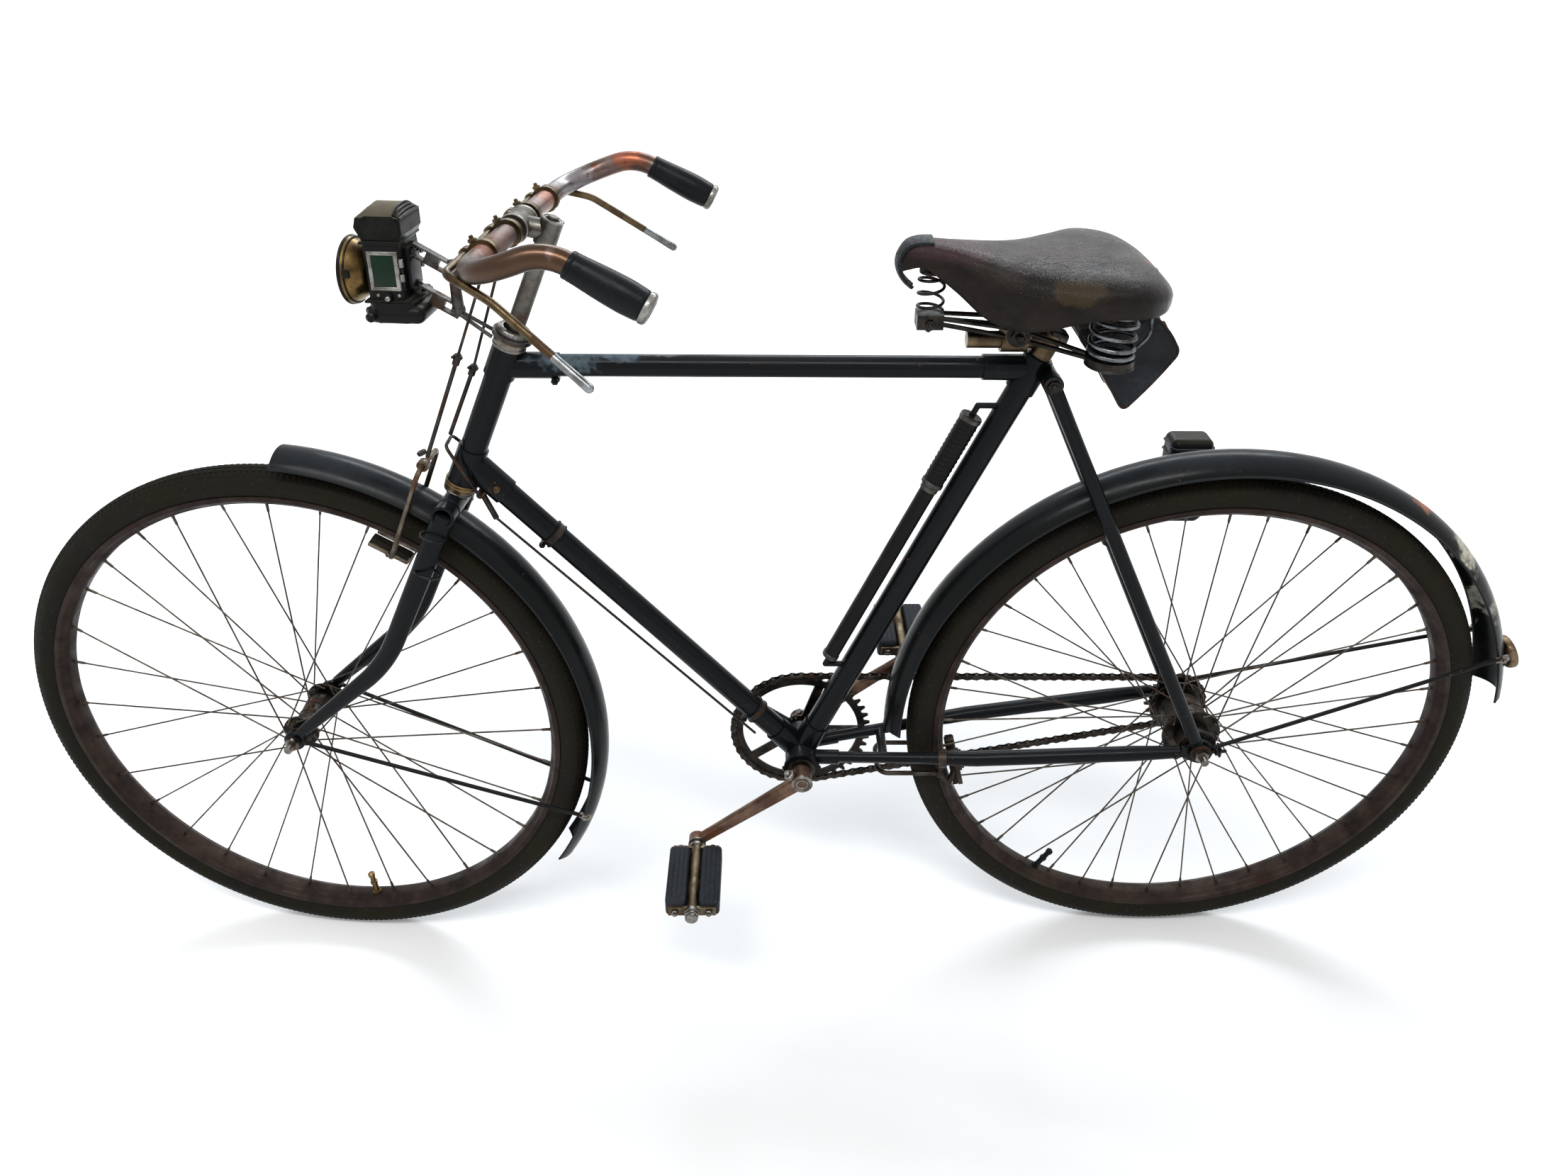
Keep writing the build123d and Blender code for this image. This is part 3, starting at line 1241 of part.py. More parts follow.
def down_tube_rod():
    """The rear brake's carrier round the head, its bell crank, and the rod under the down tube."""
    points = [(x, -y, z) for x, y, z in CARRIER] + list(reversed(CARRIER))
    carrier = bent_rod(points, [CARRIER_BEND] * 4, CARRIER_R)
    pivot, end = BELL_CRANK
    crank = rod((pivot[0], -PIVOT_HALF, pivot[2]), (pivot[0], PIVOT_HALF, pivot[2]), PIVOT_R)
    crank += rod(pivot, end, 3.5)
    top, low = Vector(*steer_point(DOWN_TUBE_HEIGHT)), Vector(*BRACKET)
    way = (low - top).normalized()
    below = Vector(way.Z, 0, -way.X)
    offset = below * (DOWN_TUBE_R + ROD_DROP)
    pull = rod(end, tuple(low - way * 60 + offset), THIN_ROD_R)
    parts = [carrier + crank + pull]
    for distance in STRAPS:
        spot = top + way * distance
        strap = rod(tuple(spot - way * 5), tuple(spot + way * 5), DOWN_TUBE_R + 1.5)
        strap += rod(tuple(spot), tuple(spot + offset * 0.86), 3)
        strap -= rod(tuple(spot - way * 30), tuple(spot + way * 30), DOWN_TUBE_R + LUG_FIT)
        parts.append(strap)
    return parts


# Output

def save(name, part, steering=False):
    """Write one piece, in the frame whose origin is the rider's place on the saddle."""
    if steering:
        part = part.rotate(STEER_AXIS, STEER_TURN)
    part = part.moved(Location((-SEAT_POINT[0], -SEAT_POINT[1], -SEAT_POINT[2])))
    part.label = name
    export_step(part, f"parts/{name}.step")


def at(part, centre):
    return part.moved(Location(centre))


rear_plate = (CHAIN_STAY_REAR_Y - DROPOUT_THICK / 2, CHAIN_STAY_REAR_Y + DROPOUT_THICK / 2 + 3 + LUG_FIT)
front_plate = (BLADE_LOW_Y - DROPOUT_THICK / 2, BLADE_LOW_Y + DROPOUT_THICK / 2)

save("head_tube", head_tube())
save("head_cups", head_cups())
save("top_tube", main_tube(0))
save("down_tube", main_tube(1))
save("seat_tube", seat_tube())
save("bottom_bracket", bottom_bracket())
save("chain_stays", chain_stays())
save("rear_dropouts", both_sides(rear_dropout()))
save("seat_stays", both_sides(seat_stay()))
save("rear_axle", axle(REAR_HUB_HALF, rear_plate, (0, 0, 0)))
save("rear_mudguard", at(guard_strip(GUARD_EDGE_R, GUARD_CREST_R, REAR_GUARD_ARC), (REAR_GUARD_SHIFT, 0, 0)))
save("rear_mudguard_stays", guard_stays((0, 0, 0), rear_plate[1] - 3, 19, GUARD_EDGE_R, 10))
save("tail_reflector", tail_reflector())
save("rear_lamp", rear_lamp())
save("seat_post", seat_post())
save("saddle_cover", at(saddle_cover(), SEAT_MOVE))
save("saddle_rails", at(saddle_rails(), SEAT_MOVE))
front_coil = coil((*FRONT_SPRING, FRONT_SPRING_FOOT), FRONT_COIL_R, 1.8, 3, NOSE_SEAT - FRONT_SPRING_FOOT)
save("front_spring", at(front_coil, SEAT_MOVE))
rear_coil = coil((*REAR_SPRING, REAR_SPRING_FOOT), REAR_COIL_R, 2.6, 4.5, SPRING_SEAT - REAR_SPRING_FOOT)
save("rear_springs", at(both_sides(rear_coil), SEAT_MOVE))
save("saddle_plates", at(saddle_plates(), SEAT_MOVE))
save("tool_bag", at(tool_bag(), SEAT_MOVE))
save("pump", pump())
save("pump_pegs", pump_pegs())
save("chain", chain())
save("rear_brake", rear_brake())

save("fork_crown", fork_crown(), True)
save("fork_blades", both_sides(fork_blade()), True)
save("head_cones", head_cones(), True)
save("front_axle", axle(FRONT_HUB_HALF, front_plate, FRONT_HUB), True)
save("stem", stem(), True)
save("handlebar", handlebar(), True)
save("left_grip", mirrored(grip()), True)
save("right_grip", grip(), True)
save("brake_levers", both_sides(brake_lever()), True)
save("lever_brackets", lever_brackets(), True)
save("front_brake_stirrup", front_stirrup(), True)
save("front_brake_rods", brake_rods(), True)
save("front_mudguard", at(guard_strip(FRONT_GUARD_EDGE_R, FRONT_GUARD_CREST_R, FRONT_GUARD_ARC), FRONT_HUB), True)
save("front_mudguard_stays", guard_stays(FRONT_HUB, front_plate[1], -18, FRONT_GUARD_EDGE_R, 4), True)
save("lamp_body", at(lamp_body(), HEAD_MOVE), True)
save("lamp_reflector", at(lamp_reflector(), HEAD_MOVE), True)
save("lamp_bracket", at(lamp_bracket(), HEAD_MOVE), True)

save("front_tyre", at(tyre(), FRONT_HUB), True)
save("front_rim", at(rim(), FRONT_HUB), True)
save("front_spokes", at(spokes(FRONT_SPOKES, FRONT_FLANGE_Y, FRONT_FLANGE_R), FRONT_HUB), True)
save("front_hub", at(hub(FRONT_HUB_R, FRONT_FLANGE_R, FRONT_FLANGE_Y, FRONT_HUB_HALF), FRONT_HUB), True)
save("rear_tyre", tyre())
save("rear_rim", rim())
save("rear_spokes", spokes(REAR_SPOKES, REAR_FLANGE_Y, REAR_FLANGE_R))
save("rear_hub", hub(REAR_HUB_R, REAR_FLANGE_R, REAR_FLANGE_Y, REAR_HUB_HALF))
save("rear_sprocket", toothed(SPROCKET_TEETH, REAR_HUB_R * 0.8 + LUG_FIT))
save("crank_axle", crank_axle())
save("chainring", at(chainring(), BRACKET))
save("left_crank", crank_arm(-1))
save("right_crank", crank_arm(1))
save("pedal_axles", Compound([pedal_axle(-1), pedal_axle(1)]))
for name, side in (("left", -1), ("right", 1)):
    save(f"{name}_pedal_frame", pedal_frame(side))
    save(f"{name}_pedal_blocks", pedal_blocks(side))
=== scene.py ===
import math
import random

import bmesh
import bpy
from mathutils import Matrix, Vector


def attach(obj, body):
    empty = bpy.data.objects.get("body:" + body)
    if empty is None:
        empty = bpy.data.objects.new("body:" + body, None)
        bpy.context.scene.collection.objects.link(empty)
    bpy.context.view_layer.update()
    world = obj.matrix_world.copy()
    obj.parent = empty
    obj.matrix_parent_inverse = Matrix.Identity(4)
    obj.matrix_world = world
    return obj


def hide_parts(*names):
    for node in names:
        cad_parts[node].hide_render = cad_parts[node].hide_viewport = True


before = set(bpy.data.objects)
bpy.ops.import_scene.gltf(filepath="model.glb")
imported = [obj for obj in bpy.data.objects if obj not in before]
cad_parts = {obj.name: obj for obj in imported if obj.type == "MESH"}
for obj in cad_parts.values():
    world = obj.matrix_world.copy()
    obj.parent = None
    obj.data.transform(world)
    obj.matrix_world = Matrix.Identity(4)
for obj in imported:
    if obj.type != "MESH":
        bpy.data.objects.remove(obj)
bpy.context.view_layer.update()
random.seed(4)

# Places, in millimetres from the rear axle: x back, y to the rider's right, z up.
SEAT_POINT = Vector((-255, 0, 622))
HEAD_ANGLE = math.radians(67)
FRONT_HUB = Vector((-1114, 0, 0))
BRACKET = Vector((-490, 0, -52))
FOOT = Vector((-1114 + 80.5 / math.sin(HEAD_ANGLE), 0, 0))
STEER_WAY = Vector((math.cos(HEAD_ANGLE), 0, math.sin(HEAD_ANGLE)))
STEER_TURN = math.radians(-5.1)
SEAT_ANGLE = math.radians(66)
SEAT_WAY = Vector((math.cos(SEAT_ANGLE), 0, math.sin(SEAT_ANGLE)))
CROWN_ALONG = 352
HEAD_START, HEAD_END = 379.4, 556.2
STEM_TOP = HEAD_END + 149

STILL = Matrix.Scale(0.001, 4) @ Matrix.Translation(-SEAT_POINT)
STEERED = STILL @ Matrix.Translation(FOOT) @ Matrix.Rotation(STEER_TURN, 4, STEER_WAY) @ Matrix.Translation(-FOOT)
FRONT_WHEEL = STEERED @ Matrix.Translation(FRONT_HUB)
UP, RIGHT, BACK = Vector((0, 0, 1)), Vector((0, 1, 0)), Vector((1, 0, 0))


def on_steering(distance):
    return FOOT + STEER_WAY * distance


def on_seat_tube(height):
    return BRACKET + SEAT_WAY * ((height - BRACKET.z) / SEAT_WAY.z)


# The camera, from the fit of the wheels' edges in the photograph.
YAW, PITCH, ROLL = 0.0111, 0.4829, 0.0088
fwd = Vector((math.sin(YAW) * math.cos(PITCH), math.cos(YAW) * math.cos(PITCH), -math.sin(PITCH)))
level = Vector((math.cos(YAW), -math.sin(YAW), 0))
rise = level.cross(fwd)
right_r = math.cos(ROLL) * level + math.sin(ROLL) * rise
up_r = -math.sin(ROLL) * level + math.cos(ROLL) * rise
cam_data = bpy.data.cameras.new("camera")
cam = bpy.data.objects.new("camera", cam_data)
bpy.context.scene.collection.objects.link(cam)
place = Vector((-0.5288, -1.1107, 0.9759)) + Vector((0.255, 0.0, -0.622))
cam.matrix_world = Matrix(((right_r.x, up_r.x, -fwd.x, place.x), (right_r.y, up_r.y, -fwd.y, place.y),
                           (right_r.z, up_r.z, -fwd.z, place.z), (0, 0, 0, 1)))
cam_data.sensor_width = 36
cam_data.lens = 1586.7 / 2212 * 36
cam_data.shift_x = 1 / 2212
cam_data.shift_y = -201 / 2212
bpy.context.scene.camera = cam
bpy.context.scene.view_settings.view_transform = "Standard"


# Materials

class Nodes:
    """A short way to write a material's nodes."""

    def __init__(self, name):
        self.mat = bpy.data.materials.new(name)
        self.mat.use_nodes = True
        self.tree = self.mat.node_tree
        self.shader = self.tree.nodes["Principled BSDF"]
        self.out = self.tree.nodes["Material Output"]
        self.coord = self.new("ShaderNodeTexCoord").outputs["Object"]
        self.normal = self.new("ShaderNodeNewGeometry").outputs["Normal"]

    def new(self, kind, **values):
        node = self.tree.nodes.new(kind)
        for key, value in values.items():
            setattr(node, key, value)
        return node

    def put(self, socket, value):
        if isinstance(value, bpy.types.NodeSocket):
            self.tree.links.new(value, socket)
        elif isinstance(value, (tuple, list)) and len(value) == 3 and socket.type == "RGBA":
            socket.default_value = (*value, 1)
        else:
            socket.default_value = value

    def noise(self, scale, detail=4, rough=0.55, stretch=None, warp=0):
        node = self.new("ShaderNodeTexNoise")
        where = self.coord
        if stretch:
            mapping = self.new("ShaderNodeMapping")
            self.put(mapping.inputs["Vector"], where)
            self.put(mapping.inputs["Scale"], stretch)
            where = mapping.outputs[0]
        self.put(node.inputs["Vector"], where)
        self.put(node.inputs["Scale"], scale)
        self.put(node.inputs["Detail"], detail)
        self.put(node.inputs["Roughness"], rough)
        self.put(node.inputs["Distortion"], warp)
        return node.outputs["Fac"]

    def span(self, value, low, high, start=0.0, end=1.0, smooth=True):
        node = self.new("ShaderNodeMapRange", interpolation_type="SMOOTHSTEP" if smooth else "LINEAR")
        for key, item in zip(("Value", "From Min", "From Max", "To Min", "To Max"), (value, low, high, start, end)):
            self.put(node.inputs[key], item)
        return node.outputs[0]

    def sum(self, kind, a, b=0.0):
        node = self.new("ShaderNodeMath", operation=kind)
        self.put(node.inputs[0], a)
        self.put(node.inputs[1], b)
        return node.outputs[0]

    def mix(self, share, a, b):
        node = self.new("ShaderNodeMix", data_type="RGBA")
        self.put(node.inputs["Factor"], share)
        self.put(node.inputs[6], a)
        self.put(node.inputs[7], b)
        return node.outputs[2]

    def axis(self, source, index):
        node = self.new("ShaderNodeSeparateXYZ")
        self.put(node.inputs[0], source)
        return node.outputs[index]

    def spot(self, centre, radius, ragged=0.3, scale=60, stretch=(1, 1, 1)):
        """1 inside a ragged ball about a point in the row frame, 0 outside it."""
        shift = self.new("ShaderNodeVectorMath", operation="SUBTRACT")
        self.put(shift.inputs[0], self.coord)
        self.put(shift.inputs[1], centre)
        grow = self.new("ShaderNodeVectorMath", operation="MULTIPLY")
        self.put(grow.inputs[0], shift.outputs[0])
        self.put(grow.inputs[1], stretch)
        length = self.new("ShaderNodeVectorMath", operation="LENGTH")
        self.put(length.inputs[0], grow.outputs[0])
        wobble = self.sum("MULTIPLY", self.sum("SUBTRACT", self.noise(scale, 3), 0.5), radius * ragged * 4)
        return self.span(self.sum("ADD", length.outputs["Value"], wobble), radius, radius * 0.6)

    def bump(self, height, strength=0.3, distance=0.001, after=None):
        node = self.new("ShaderNodeBump")
        self.put(node.inputs["Strength"], strength)
        self.put(node.inputs["Distance"], distance)
        self.put(node.inputs["Height"], height)
        if after is not None:
            self.put(node.inputs["Normal"], after)
        self.put(self.shader.inputs["Normal"], node.outputs[0])
        return node.outputs[0]

    def set(self, **values):
        for key, value in values.items():
            self.put(self.shader.inputs[key.replace("_", " ")], value)
        return self.mat


def row(x, y, z):
    """A place in the row frame, in metres, from one in the drawing's millimetres."""
    return tuple(STILL @ Vector((x, y, z)))


def enamel(name, base, top, dust_and_sheen_share, rust, spots=(), rough=0.3, specular=0.10, low=0.35, high=1.0):
    """Old stove enamel: dark, duller, paler and bluer where it faces up (dusty paint, and on some finishes a painted
    sheen), with rust specks and scratches.
    """
    n = Nodes(name)
    cloud = n.noise(9, 5, 0.6)
    # Paler, bluer tint on upward faces: dusty paint, and on the frame, fork, guards, guard edges and rear lamp case
    # also a painted sheen.
    up = n.span(n.axis(n.normal, 2), low, high)
    dust_and_sheen = n.sum("MULTIPLY", n.sum("MULTIPLY", up, n.span(cloud, 0.3, 0.7, 0.55, 1.0)), dust_and_sheen_share)
    colour = n.mix(dust_and_sheen, base, top)
    scuff = n.span(n.noise(55, 6, 0.7, stretch=(0.35, 1, 1)), 0.62, 0.7, 0, 0.35)
    colour = n.mix(scuff, colour, tuple(c * 2.2 + 0.01 for c in base))
    speck = n.span(n.noise(170, 3, 0.6), 0.67, 0.72)
    patchy = n.span(n.noise(14, 4, 0.6), 0.5, 0.62)
    pit = n.sum("MULTIPLY", n.sum("MULTIPLY", speck, patchy), rust)
    colour = n.mix(pit, colour, (0.17, 0.06, 0.02))
    wear_and_sheen_patches = None
    # Listed patches: worn paint and rust, and on the frame's top tube a painted highlight over worn paint.
    for where, radius, tint, stretch in spots:
        mask = n.spot(where, radius, 0.45, 70, stretch)
        colour = n.mix(n.sum("MULTIPLY", mask, n.span(n.noise(120, 4, 0.7), 0.35, 0.6, 0.45, 1)), colour, tint)
        wear_and_sheen_patches = mask if wear_and_sheen_patches is None else n.sum("MAXIMUM", wear_and_sheen_patches, mask)
    shine = n.span(n.noise(30, 5, 0.6), 0.3, 0.7, rough * 0.75, rough * 1.35)
    shine = n.sum("ADD", shine, n.sum("MULTIPLY", pit, 0.35))
    if wear_and_sheen_patches is not None:
        shine = n.sum("ADD", shine, n.sum("MULTIPLY", wear_and_sheen_patches, 0.25))
    height = n.sum("SUBTRACT", n.noise(45, 4, 0.5), n.sum("MULTIPLY", pit, 0.6))
    n.bump(height, 0.18, 0.0006)
    return n.set(Base_Color=colour, Roughness=shine, IOR=1.5, Specular_IOR_Level=specular)


def metal(name, base, dark, rust_tint, rust, rough=0.38, grain=(1, 1, 1), scale=40, metallic=1.0, pits=0.5, spots=()):
    """Steel, plated or not, with tarnish, rust patches and pits."""
    n = Nodes(name)
    tarnish = n.span(n.noise(scale, 6, 0.65, stretch=grain), 0.32, 0.68)
    colour = n.mix(tarnish, base, dark)
    patch = n.span(n.noise(scale * 0.5, 5, 0.7, stretch=grain), 0.68 - rust * 0.3, 0.82 - rust * 0.3)
    colour = n.mix(n.sum("MULTIPLY", patch, 0.85), colour, rust_tint)
    # Listed patches: rust and tarnish, and on the handlebar also painted reflections.
    for where, radius, tint, share in spots:
        colour = n.mix(n.sum("MULTIPLY", n.spot(where, radius, 0.4, 45, (1, 1, 1)), share), colour, tint)
    fleck = n.span(n.noise(scale * 7, 3, 0.6), 0.6, 0.68)
    colour = n.mix(n.sum("MULTIPLY", fleck, pits), colour, tuple(c * 0.45 for c in rust_tint))
    shine = n.span(n.noise(scale * 1.4, 4), 0.3, 0.7, rough * 0.8, rough * 1.3)
    shine = n.sum("ADD", shine, n.sum("MULTIPLY", patch, 0.3))
    solid = n.span(patch, 0, 1, metallic, metallic * 0.25)
    height = n.sum("ADD", n.noise(scale * 9, 3), n.sum("MULTIPLY", patch, 0.7))
    n.bump(height, 0.22, 0.0005)
    return n.set(Base_Color=colour, Roughness=shine, Metallic=solid, Specular_IOR_Level=0.15)


def rubber(name, base, dusty, rough=0.75, scale=60, amount=0.5):
    """Old rubber, duller and paler where it is dusty."""
    n = Nodes(name)
    cloud = n.span(n.noise(scale * 0.4, 6, 0.7), 0.35, 0.7)
    colour = n.mix(n.sum("MULTIPLY", cloud, amount), base, dusty)
    speck = n.span(n.noise(scale * 6, 2), 0.64, 0.7)
    colour = n.mix(n.sum("MULTIPLY", speck, amount * 0.8), colour, tuple(c * 1.6 for c in dusty))
    n.bump(n.sum("ADD", n.noise(scale * 5, 4, 0.7), n.noise(scale, 3)), 0.35, 0.0007)
    shine = n.span(cloud, 0, 1, rough * 0.85, min(rough * 1.15, 1.0))
    return n.set(Base_Color=colour, Roughness=shine, Specular_IOR_Level=0.12)


def plain(name, base, rough=0.4, metallic=0.0, emission=None):
    """A small part's finish, with a little unevenness."""
    n = Nodes(name)
    colour = n.mix(n.span(n.noise(90, 4), 0.3, 0.7), tuple(c * 0.7 for c in base), base)
    n.bump(n.noise(300, 3), 0.15, 0.0004)
    return n.set(Base_Color=colour, Roughness=n.span(n.noise(120, 3), 0.3, 0.7, rough * 0.8, rough * 1.2), Metallic=metallic,
                 Specular_IOR_Level=0.15)


# Shapes

def basis(way):
    """Two directions at right angles to a direction and to each other."""
    way = way.normalized()
    side = way.cross(UP if abs(way.z) < 0.9 else BACK).normalized()
    return side, way.cross(side)


def smooth_line(points, per=6):
    """Points on a smooth curve through the given ones."""
    points = [Vector(p) for p in points]
    full = [points[0] * 2 - points[1]] + points + [points[-1] * 2 - points[-2]]
    line = []
    for i in range(1, len(full) - 2):
        a, b, c, d = full[i - 1:i + 3]
        for step in range(per):
            t = step / per
            line.append(0.5 * ((2 * b) + (c - a) * t + (2 * a - 5 * b + 4 * c - d) * t * t + (3 * b - a - 3 * c + d) * t ** 3))
    return line + [points[-1]]


def bent_line(points, radii, step=0.15):
    """Straight runs joined by tangent arcs, as a list of points."""
    points = [Vector(p) for p in points]
    line = [points[0]]
    for a, b, c, radius in zip(points, points[1:], points[2:], radii):
        before, after = (a - b).normalized(), (c - b).normalized()
        half = before.angle(after) / 2
        reach = radius / math.tan(half)
        middle = b + (before + after).normalized() * (radius / math.sin(half))
        start, end = b + before * reach, b + after * reach
        turn = math.pi - 2 * half
        axis = (start - middle).cross(end - middle).normalized()
        count = max(3, int(turn / step))
        line += [middle + Matrix.Rotation(turn * i / count, 3, axis) @ (start - middle) for i in range(count + 1)]
    return line + [points[-1]]


class Shape:
    """Collects geometry in millimetres and makes one piece of it."""

    def __init__(self):
        self.verts, self.faces, self.slots = [], [], []

    def add(self, verts, faces, slot=0, turn=None):
        base = len(self.verts)
        self.verts += [turn @ Vector(v) if turn else Vector(v) for v in verts]
        self.faces += [[base + i for i in face] for face in faces]
        self.slots += [slot] * len(faces)
        return self

    def grid(self, rows, slot=0, wrap_rows=False, wrap=True, ends=False):
        """Faces over rows of points. wrap joins each row's end to its start."""
        wide = len(rows[0])
        faces = []
        for r in range(len(rows) - (0 if wrap_rows else 1)):
            after = (r + 1) % len(rows)
            for c in range(wide if wrap else wide - 1):
                side = (c + 1) % wide
                faces.append((r * wide + c, r * wide + side, after * wide + side, after * wide + c))
        if ends:
            faces.append(tuple(reversed(range(wide))))
            faces.append(tuple((len(rows) - 1) * wide + c for c in range(wide)))
        return self.add([v for line in rows for v in line], faces, slot)

    def tube(self, points, radius, sides=12, slot=0, closed=False, squash=1.0, round_end=False):
        points = [Vector(p) for p in points]
        radii = radius if isinstance(radius, (list, tuple)) else [radius] * len(points)
        if round_end:
            out = (points[-1] - points[-2]).normalized()
            r, tip = radii[-1], points[-1]
            points = points[:-1] + [tip - out * r * 0.9] + [tip - out * r * k for k in (0.5, 0.2, 0.02)]
            radii = list(radii[:-1]) + [r, r * 0.85, r * 0.6, r * 0.15]
        rows = []
        side = None
        for i, point in enumerate(points):
            ahead = points[(i + 1) % len(points)] if closed or i + 1 < len(points) else point
            behind = points[i - 1] if closed or i > 0 else point
            way = (ahead - behind).normalized()
            if side is None:
                side, _ = basis(way)
            side = (side - way * side.dot(way)).normalized()
            other = way.cross(side)
            rows.append([point + (side * math.cos(a) + other * math.sin(a) * squash) * radii[i]
                         for a in (2 * math.pi * k / sides for k in range(sides))])
        return self.grid(rows, slot, wrap_rows=closed, ends=not closed)

    def rod(self, start, end, radius, end_radius=None, sides=16, slot=0, edge=0.0):
        """A bar between two points, with its ends' edges eased."""
        start, end = Vector(start), Vector(end)
        length = (end - start).length
        top = radius if end_radius is None else end_radius
        if edge:
            profile = [(0, 0), (radius - edge, 0), (radius, edge), (top, length - edge), (top - edge, length), (0, length)]
        else:
            profile = [(0, 0), (radius, 0), (top, length), (0, length)]
        return self.lathe(profile, start, end - start, sides, slot)

    def lathe(self, profile, origin, way, sides=32, slot=0, loop=False):
        """A profile of (radius, distance along) turned about an axis."""
        way = Vector(way).normalized()
        side, other = basis(way)
        origin = Vector(origin)
        turns = [(math.cos(2 * math.pi * k / sides), math.sin(2 * math.pi * k / sides)) for k in range(sides)]
        rows = [[origin + way * h + (side * c + other * s) * max(r, 0.01) for c, s in turns] for r, h in profile]
        return self.grid(rows, slot, wrap_rows=loop, ends=False)

    def block(self, centre, size, turn=None, ease=1.0, steps=2, slot=0):
        """A box with rounded edges."""
        mesh = bmesh.new()
        bmesh.ops.create_cube(mesh, size=1)
        bmesh.ops.scale(mesh, vec=Vector(size), verts=mesh.verts)
        if ease:
            bmesh.ops.bevel(mesh, geom=list(mesh.edges), offset=ease, segments=steps, profile=0.5, affect="EDGES")
        mesh.verts.index_update()
        place = Matrix.Translation(Vector(centre)) @ (turn.to_4x4() if turn else Matrix())
        self.add([place @ v.co for v in mesh.verts], [[v.index for v in f.verts] for f in mesh.faces], slot)
        mesh.free()
        return self

    def nut(self, centre, way, radius, height, bolt=0.0, slot=0, sides=6):
        """A chamfered nut with a domed bolt end standing out of it."""
        centre, way = Vector(centre), Vector(way).normalized()
        start = centre - way * height / 2
        chamfer = radius * 0.12
        self.lathe([(0, 0), (radius - chamfer, 0), (radius, chamfer), (radius, height - chamfer),
                    (radius - chamfer, height), (0, height)], start, way, sides, slot)
        if bolt:
            r = radius * 0.5
            self.lathe([(r, height * 0.9), (r, height + bolt), (r * 0.75, height + bolt + r * 0.3), (0, height + bolt + r * 0.42)],
                       start, way, 12, slot)
        return self

    def dome(self, centre, way, radius, height, slot=0, sides=14, slotted=False):
        """A rivet's or screw's round head, or a flat head with a slot."""
        centre, way = Vector(centre), Vector(way).normalized()
        steps = [(radius * math.cos(a), height * math.sin(a)) for a in (math.pi / 2 * k / 4 for k in range(5))]
        self.lathe([(radius * 0.95, -0.6)] + steps, centre, way, sides, slot)
        if slotted:
            side, other = basis(way)
            turn = Matrix((side, other, way)).transposed()
            self.block(centre + way * height, (radius * 1.5, radius * 0.3, height * 0.35), turn, 0, slot=slot + 1)
        return self

    def copy_mirrored(self):
        """Adds the same geometry on the other side of the bicycle."""
        count = len(self.verts)
        self.verts += [Vector((v.x, -v.y, v.z)) for v in self.verts]
        self.faces += [[i + count for i in reversed(face)] for face in self.faces]
        self.slots += self.slots
        return self

    def done(self, name, materials, body, slot_name, nodes=(), where=STILL, angle=38):
        mesh = bpy.data.meshes.new(name)
        mesh.from_pydata([where @ v for v in self.verts], [], self.faces)
        for mat in materials if isinstance(materials, (list, tuple)) else [materials]:
            mesh.materials.append(mat)
        mesh.polygons.foreach_set("material_index", self.slots)
        tidy = bmesh.new()
        tidy.from_mesh(mesh)
        bmesh.ops.remove_doubles(tidy, verts=tidy.verts, dist=0.000012)
        bmesh.ops.recalc_face_normals(tidy, faces=tidy.faces)
        tidy.to_mesh(mesh)
        tidy.free()
        mesh.polygons.foreach_set("use_smooth", [True] * len(mesh.polygons))
        mesh.set_sharp_from_angle(angle=math.radians(angle))
        obj = bpy.data.objects.new(name, mesh)
        bpy.context.scene.collection.objects.link(obj)
        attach(obj, body)
        if nodes:
            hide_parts(*nodes)
        return obj


# Finishes

BLACK = (0.004, 0.005, 0.006)
RUST = (0.13, 0.045, 0.018)


def around(centre, radius, degrees, y=0):
    """A place on a circle about a wheel's centre, in the frame's metres."""
    a = math.radians(degrees)
    return row(centre.x + radius * math.cos(a), y, centre.z + radius * math.sin(a))


REAR_HUB = Vector((0, 0, 0))
# Frame, guards and fork: their blue-grey tint on upward faces is dusty paint and also a painted sheen. The frame's
# three pale blue-grey patches on top of the top tube by the head are a painted highlight over worn paint; the orange
# one is rust.
frame_enamel = enamel("frame_enamel", BLACK, (0.040, 0.044, 0.050), 0.35, 0.8, rough=0.24, low=0.6, spots=(
    (row(-742, -6, 503), 0.024, (0.085, 0.115, 0.14), (0.55, 1, 1.4)),
    (row(-690, -2, 503), 0.010, (0.09, 0.12, 0.15), (0.4, 1, 1)),
    (row(-640, 2, 503), 0.007, (0.12, 0.13, 0.13), (0.4, 1, 1)),
    (row(-251, -30, 484), 0.007, (0.16, 0.06, 0.03), (1, 1, 1)),
))
guard_enamel = enamel("guard_enamel", (0.005, 0.0055, 0.006), (0.030, 0.036, 0.042), 0.6, 0.9, rough=0.24, low=0.5, spots=(
    (row(278, 0, 268), 0.028, (0.60, 0.58, 0.47), (1, 0.8, 0.45)),
    (row(336, 0, 190), 0.026, (0.46, 0.46, 0.38), (1, 0.8, 0.35)),
    (row(218, -6, 325), 0.012, (0.36, 0.15, 0.08), (0.5, 0.8, 0.7)),
))
# The guards' rolled edges: a lighter copy of the guards' enamel with a paler top, as a painted highlight along the
# beads.
guard_edge_painted_highlight = enamel("guard_edge_painted_highlight", (0.012, 0.014, 0.015), (0.045, 0.050, 0.055), 0.6, 0.8, rough=0.26, low=0.45)
fork_enamel = enamel("fork_enamel", BLACK, (0.022, 0.032, 0.045), 0.35, 1.0, rough=0.26)
wire_enamel = enamel("wire_enamel", (0.006, 0.006, 0.006), (0.02, 0.02, 0.02), 0.3, 1.0, rough=0.45)
race_steel = metal("race_steel", (0.20, 0.195, 0.18), (0.065, 0.058, 0.050), RUST, 0.35, 0.32)
race_brass = metal("race_brass", (0.21, 0.145, 0.07), (0.08, 0.052, 0.028), RUST, 0.4, 0.4)
